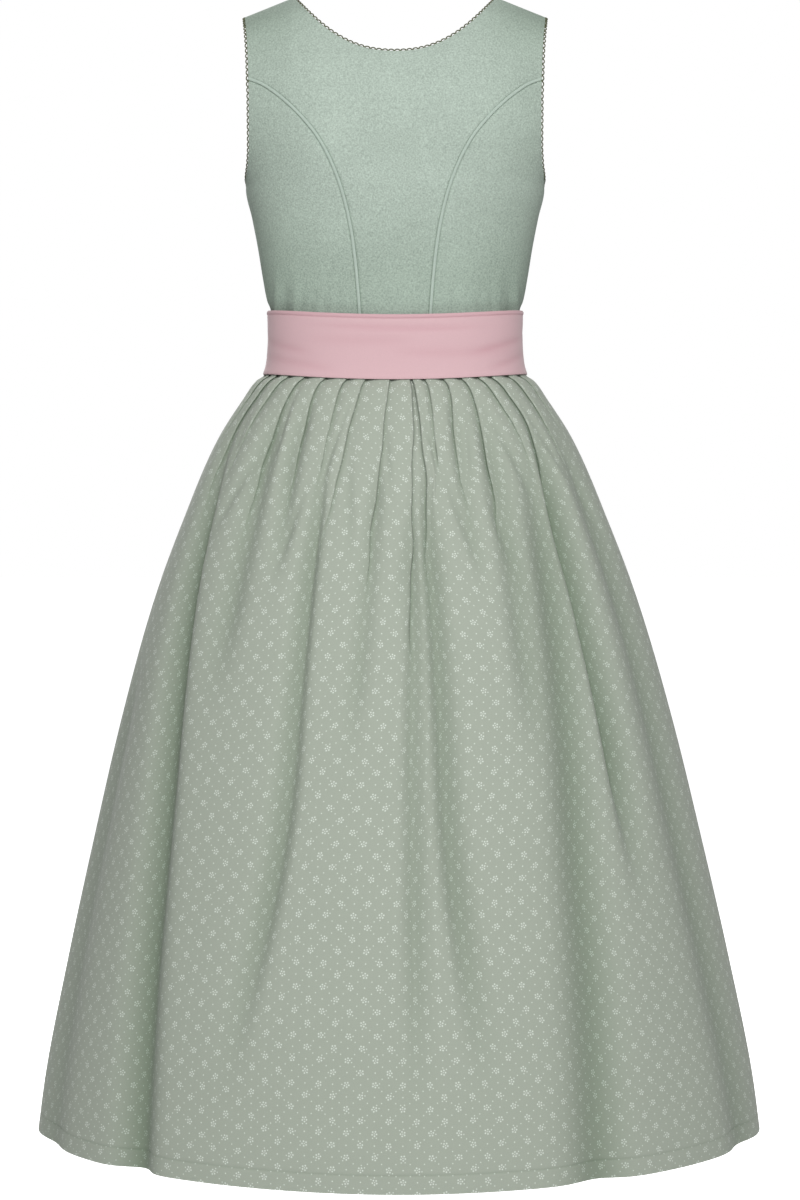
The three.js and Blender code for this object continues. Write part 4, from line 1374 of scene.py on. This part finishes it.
def make_sash(sizes, colors):
    cotton = cloth_material(
        "Sash cotton",
        colors.sash,
        contrast=0.035,
        fleck_scale=1300,
        bump=0.2,
        sheen=0.3,
        patch=0.1,
        crease=ROSE_PAINTED_SHADE,
    )
    angle = (SASH["start"] + np.arange(360 + SASH["lap"] + 1.0))[None, :]
    height = SASH["bottom"] - SASH["top"]
    middle_rows = np.linspace(9, height - 4, 17)
    down = np.concatenate([SASH_TOP_ROWS, middle_rows, height - np.array(SASH_FOOT_ROWS)])[:, None]
    lap_start = SASH["start"] + 360
    lifted = SASH["lift"] * smoothstep(angle, lap_start - SASH["rise"], lap_start)
    folded = 1 - smoothstep(down, SASH_HEM - SASH_FOLD["above"], SASH_HEM + SASH_FOLD["below"])
    groove = trough(down - SASH_HEM, **SASH_GROOVE)
    rounded = trough(down, **SASH_TOP_ROUND) + trough(height - down, **SASH_FOOT_ROUND)
    creases = sash_creases(angle, down)
    relief = SASH_FOLD["thick"] * folded - groove - rounded - creases
    drop = SASH["top"] + down + 0 * angle
    points = outline(angle, drop, SASH["stand"] + lifted + relief)
    # Painted shade: darker above the stitches, in their groove and in the creases.
    shade_share = SASH_SHADE["fold"] * (down < SASH_HEM) + SASH_SHADE["groove"] * groove
    crease = np.clip(shade_share + SASH_SHADE["crease"] * creases, 0, 1)
    piece = cloth_piece("cotton_sash", points, sizes.sash_cloth / MM, crease=crease)
    settle(piece, ["sash"], cotton)


def sash_creases(angle, down):
    depth = np.zeros(np.broadcast(angle, down).shape)
    for crease in SASH_CREASES.each():
        way = angle - crease["angle"]
        line = crease["down"] + crease["slant"] * way
        along = np.exp(-((way / crease["long"]) ** 4))
        depth += along * trough(down - line, crease["depth"], crease["wide"])
    return depth


# ---------------------------------------------------------------- stage

# The camera's place and the height that it looks at, in metres, and its lens and sensor in millimetres.
CAMERA = {"aside": 0.005, "back": 3.0, "height": -0.507, "aim": -0.622, "lens": 86.5, "sensor": 36}
FLOOR_GAP = 0.35
FLOOR_SIZE = 60
FLOOR_COLOR = (0.86, 0.86, 0.86, 1)
# The world's light, how bright the backdrop and the floor look, the height the lamps point at, and the lamps.
LIGHT = {
    "world": 0.2,
    "backdrop": 1.0,
    "floor": 1.0,
    "aim": -0.55,
    "lamps": [
        {"name": "Key", "place": (0.2, -2.9, 1.2), "size": 2.0, "power": 94},
        {"name": "Back fill", "place": (-0.6, 3.2, 1.2), "size": 2.0, "power": 88},
    ],
}


def make_camera(scene):
    camera = bpy.data.cameras.new("Camera")
    camera.sensor_fit = "VERTICAL"
    camera.sensor_height = CAMERA["sensor"]
    camera.lens = CAMERA["lens"]
    rig = bpy.data.objects.new("Camera", camera)
    scene.collection.objects.link(rig)
    rig.location = (CAMERA["aside"], -CAMERA["back"], CAMERA["height"])
    tilt = math.atan2(CAMERA["aim"] - CAMERA["height"], CAMERA["back"])
    rig.rotation_euler = (math.pi / 2 + tilt, 0, 0)
    scene.camera = rig


def make_floor():
    deselect()
    floor_height = FRAME_BOX[0][2] - FLOOR_GAP
    bpy.ops.mesh.primitive_plane_add(size=FLOOR_SIZE, location=(0, 0, floor_height))
    floor = bpy.context.object
    floor.name = "studio_floor"
    material = bpy.data.materials.new("Studio floor")
    material.use_nodes = True
    shader = material.node_tree.nodes["Principled BSDF"]
    shader.inputs["Base Color"].default_value = FLOOR_COLOR
    shader.inputs["Roughness"].default_value = 0.9
    shader.inputs["Emission Color"].default_value = (1, 1, 1, 1)
    seen = add_node(material.node_tree, "ShaderNodeLightPath").outputs["Is Camera Ray"]
    glow = sums(material.node_tree, "MULTIPLY", seen, LIGHT["floor"])
    material.node_tree.links.new(glow, shader.inputs["Emission Strength"])
    floor.data.materials.append(material)


def make_light(scene):
    world = bpy.data.worlds.new("Studio")
    world.use_nodes = True
    background = world.node_tree.nodes["Background"]
    background.inputs["Color"].default_value = (1, 1, 1, 1)
    seen = add_node(world.node_tree, "ShaderNodeLightPath").outputs["Is Camera Ray"]
    inputs = {0: seen, 3: LIGHT["world"], 4: LIGHT["backdrop"]}
    strength = add_node(world.node_tree, "ShaderNodeMapRange", inputs)
    world.node_tree.links.new(strength.outputs[0], background.inputs["Strength"])
    scene.world = world
    for each in LIGHT["lamps"]:
        lamp = bpy.data.lights.new(each["name"], "AREA")
        lamp.energy = each["power"]
        lamp.size = each["size"]
        stand = bpy.data.objects.new(each["name"], lamp)
        stand.location = each["place"]
        aim = Vector((0, 0, LIGHT["aim"])) - stand.location
        stand.rotation_euler = aim.to_track_quat("-Z", "Y").to_euler()
        scene.collection.objects.link(stand)


def make_stage():
    scene = bpy.context.scene
    scene.view_settings.view_transform = "Standard"
    make_camera(scene)
    make_floor()
    make_light(scene)

# ---------------------------------------------------------------- add-on


def linear(red, green, blue):
    """A colour as Blender keeps it, from 0 to 255 as on screen."""
    def channel(value):
        value = value / 255
        return value / 12.92 if value <= 0.04045 else ((value + 0.055) / 1.055) ** 2.4

    return channel(red), channel(green), channel(blue)


def length_property(name, description, default):
    return bpy.props.FloatProperty(
        name=name, description=description, default=default, unit="LENGTH", subtype="DISTANCE", precision=5
    )


def color_property(name, description, default):
    return bpy.props.FloatVectorProperty(
        name=name, description=description, default=default, subtype="COLOR", size=3, min=0, max=1
    )


class DressSizes(bpy.types.PropertyGroup):
    """Sizes of the cloths and trims"""

    bodice_cloth: length_property("Bodice cloth", "Thickness of the bodice with its hidden backing", 0.0014)
    skirt_cloth: length_property("Skirt cloth", "Thickness of the skirt's cotton", 0.0005)
    sash_cloth: length_property("Sash cloth", "Thickness of the folded sash", 0.001)
    piping_width: length_property("Piping width", "Width of the corded piping", 0.0032)
    piping_height: length_property("Piping height", "How far the piping stands out", 0.0009)
    picot_pitch: length_property("Picot pitch", "Distance from loop to loop along an edge", 0.0062)
    picot_thread: length_property("Picot thread", "Thickness of the edging's thread", 0.0014)
    print_across: length_property("Print across", "Distance between blossoms across the cloth", 0.027)
    print_down: length_property("Print down", "Distance between blossoms down the cloth", 0.0228)


class DressColors(bpy.types.PropertyGroup):
    """Colours of the cloths and trims"""

    bodice: color_property("Bodice", "Sage green crepe", linear(172, 186, 175))
    # The piping is the bodice's crepe, coloured a little lighter as a painted highlight on the raised cord.
    piping: color_property("Piping", "Sage green crepe on the cord", linear(175, 190, 179))
    picot: color_property("Picot", "Olive thread of the picot edging", linear(98, 102, 78))
    skirt: color_property("Skirt", "Grey green ground of the cotton", linear(168, 176, 163))
    print: color_property("Print", "Off-white of the blossoms and dots", linear(222, 230, 222))
    sash: color_property("Sash", "Old rose cotton", linear(214, 179, 184))


class DRESS_OT_bodice(bpy.types.Operator):
    """Make the seven panels of the bodice"""

    bl_idname = "dress.bodice"
    bl_label = "Bodice"
    bl_options = {"REGISTER", "UNDO"}

    def execute(self, context):
        make_bodice(context.scene.dress_sizes, context.scene.dress_colors)
        return {"FINISHED"}


class DRESS_OT_piping(bpy.types.Operator):
    """Make the corded piping on the four princess seams"""

    bl_idname = "dress.piping"
    bl_label = "Piping"
    bl_options = {"REGISTER", "UNDO"}

    def execute(self, context):
        make_piping(context.scene.dress_sizes, context.scene.dress_colors)
        return {"FINISHED"}


class DRESS_OT_picot(bpy.types.Operator):
    """Make the picot edging of the neck and armholes"""

    bl_idname = "dress.picot"
    bl_label = "Picot Edging"
    bl_options = {"REGISTER", "UNDO"}

    def execute(self, context):
        make_picot(context.scene.dress_sizes, context.scene.dress_colors)
        return {"FINISHED"}


class DRESS_OT_skirt(bpy.types.Operator):
    """Make the two pleated panels of the skirt"""

    bl_idname = "dress.skirt"
    bl_label = "Skirt"
    bl_options = {"REGISTER", "UNDO"}

    def execute(self, context):
        make_skirt(context.scene.dress_sizes, context.scene.dress_colors)
        return {"FINISHED"}


class DRESS_OT_sash(bpy.types.Operator):
    """Make the sash round the waist"""

    bl_idname = "dress.sash"
    bl_label = "Sash"
    bl_options = {"REGISTER", "UNDO"}

    def execute(self, context):
        make_sash(context.scene.dress_sizes, context.scene.dress_colors)
        return {"FINISHED"}


class DRESS_OT_stage(bpy.types.Operator):
    """Set up the camera, the floor and the studio light"""

    bl_idname = "dress.stage"
    bl_label = "Stage"
    bl_options = {"REGISTER", "UNDO"}

    def execute(self, context):
        make_stage()
        return {"FINISHED"}


OPERATORS = (
    DRESS_OT_stage,
    DRESS_OT_bodice,
    DRESS_OT_piping,
    DRESS_OT_picot,
    DRESS_OT_skirt,
    DRESS_OT_sash,
)


class DRESS_PT_sidebar(bpy.types.Panel):
    """Lists the dress's pieces and its sizes and colours"""

    bl_label = "Dirndl Dress"
    bl_idname = "DRESS_PT_sidebar"
    bl_space_type = "VIEW_3D"
    bl_region_type = "UI"
    bl_category = "Dress"

    def draw(self, context):
        for operator in OPERATORS:
            self.layout.operator(operator.bl_idname)
        for settings in (context.scene.dress_sizes, context.scene.dress_colors):
            box = self.layout.box()
            for name in settings.bl_rna.properties.keys():
                if name not in ("rna_type", "name"):
                    box.prop(settings, name)


CLASSES = (DressSizes, DressColors, *OPERATORS, DRESS_PT_sidebar)


def register():
    for item in CLASSES:
        bpy.utils.register_class(item)
    bpy.types.Scene.dress_sizes = bpy.props.PointerProperty(type=DressSizes)
    bpy.types.Scene.dress_colors = bpy.props.PointerProperty(type=DressColors)


def unregister():
    del bpy.types.Scene.dress_colors
    del bpy.types.Scene.dress_sizes
    for item in reversed(CLASSES):
        bpy.utils.unregister_class(item)


def main():
    register()
    bpy.ops.dress.stage()
    bpy.ops.dress.bodice()
    bpy.ops.dress.piping()
    bpy.ops.dress.picot()
    bpy.ops.dress.skirt()
    bpy.ops.dress.sash()


if __name__ == "__main__":
    main()
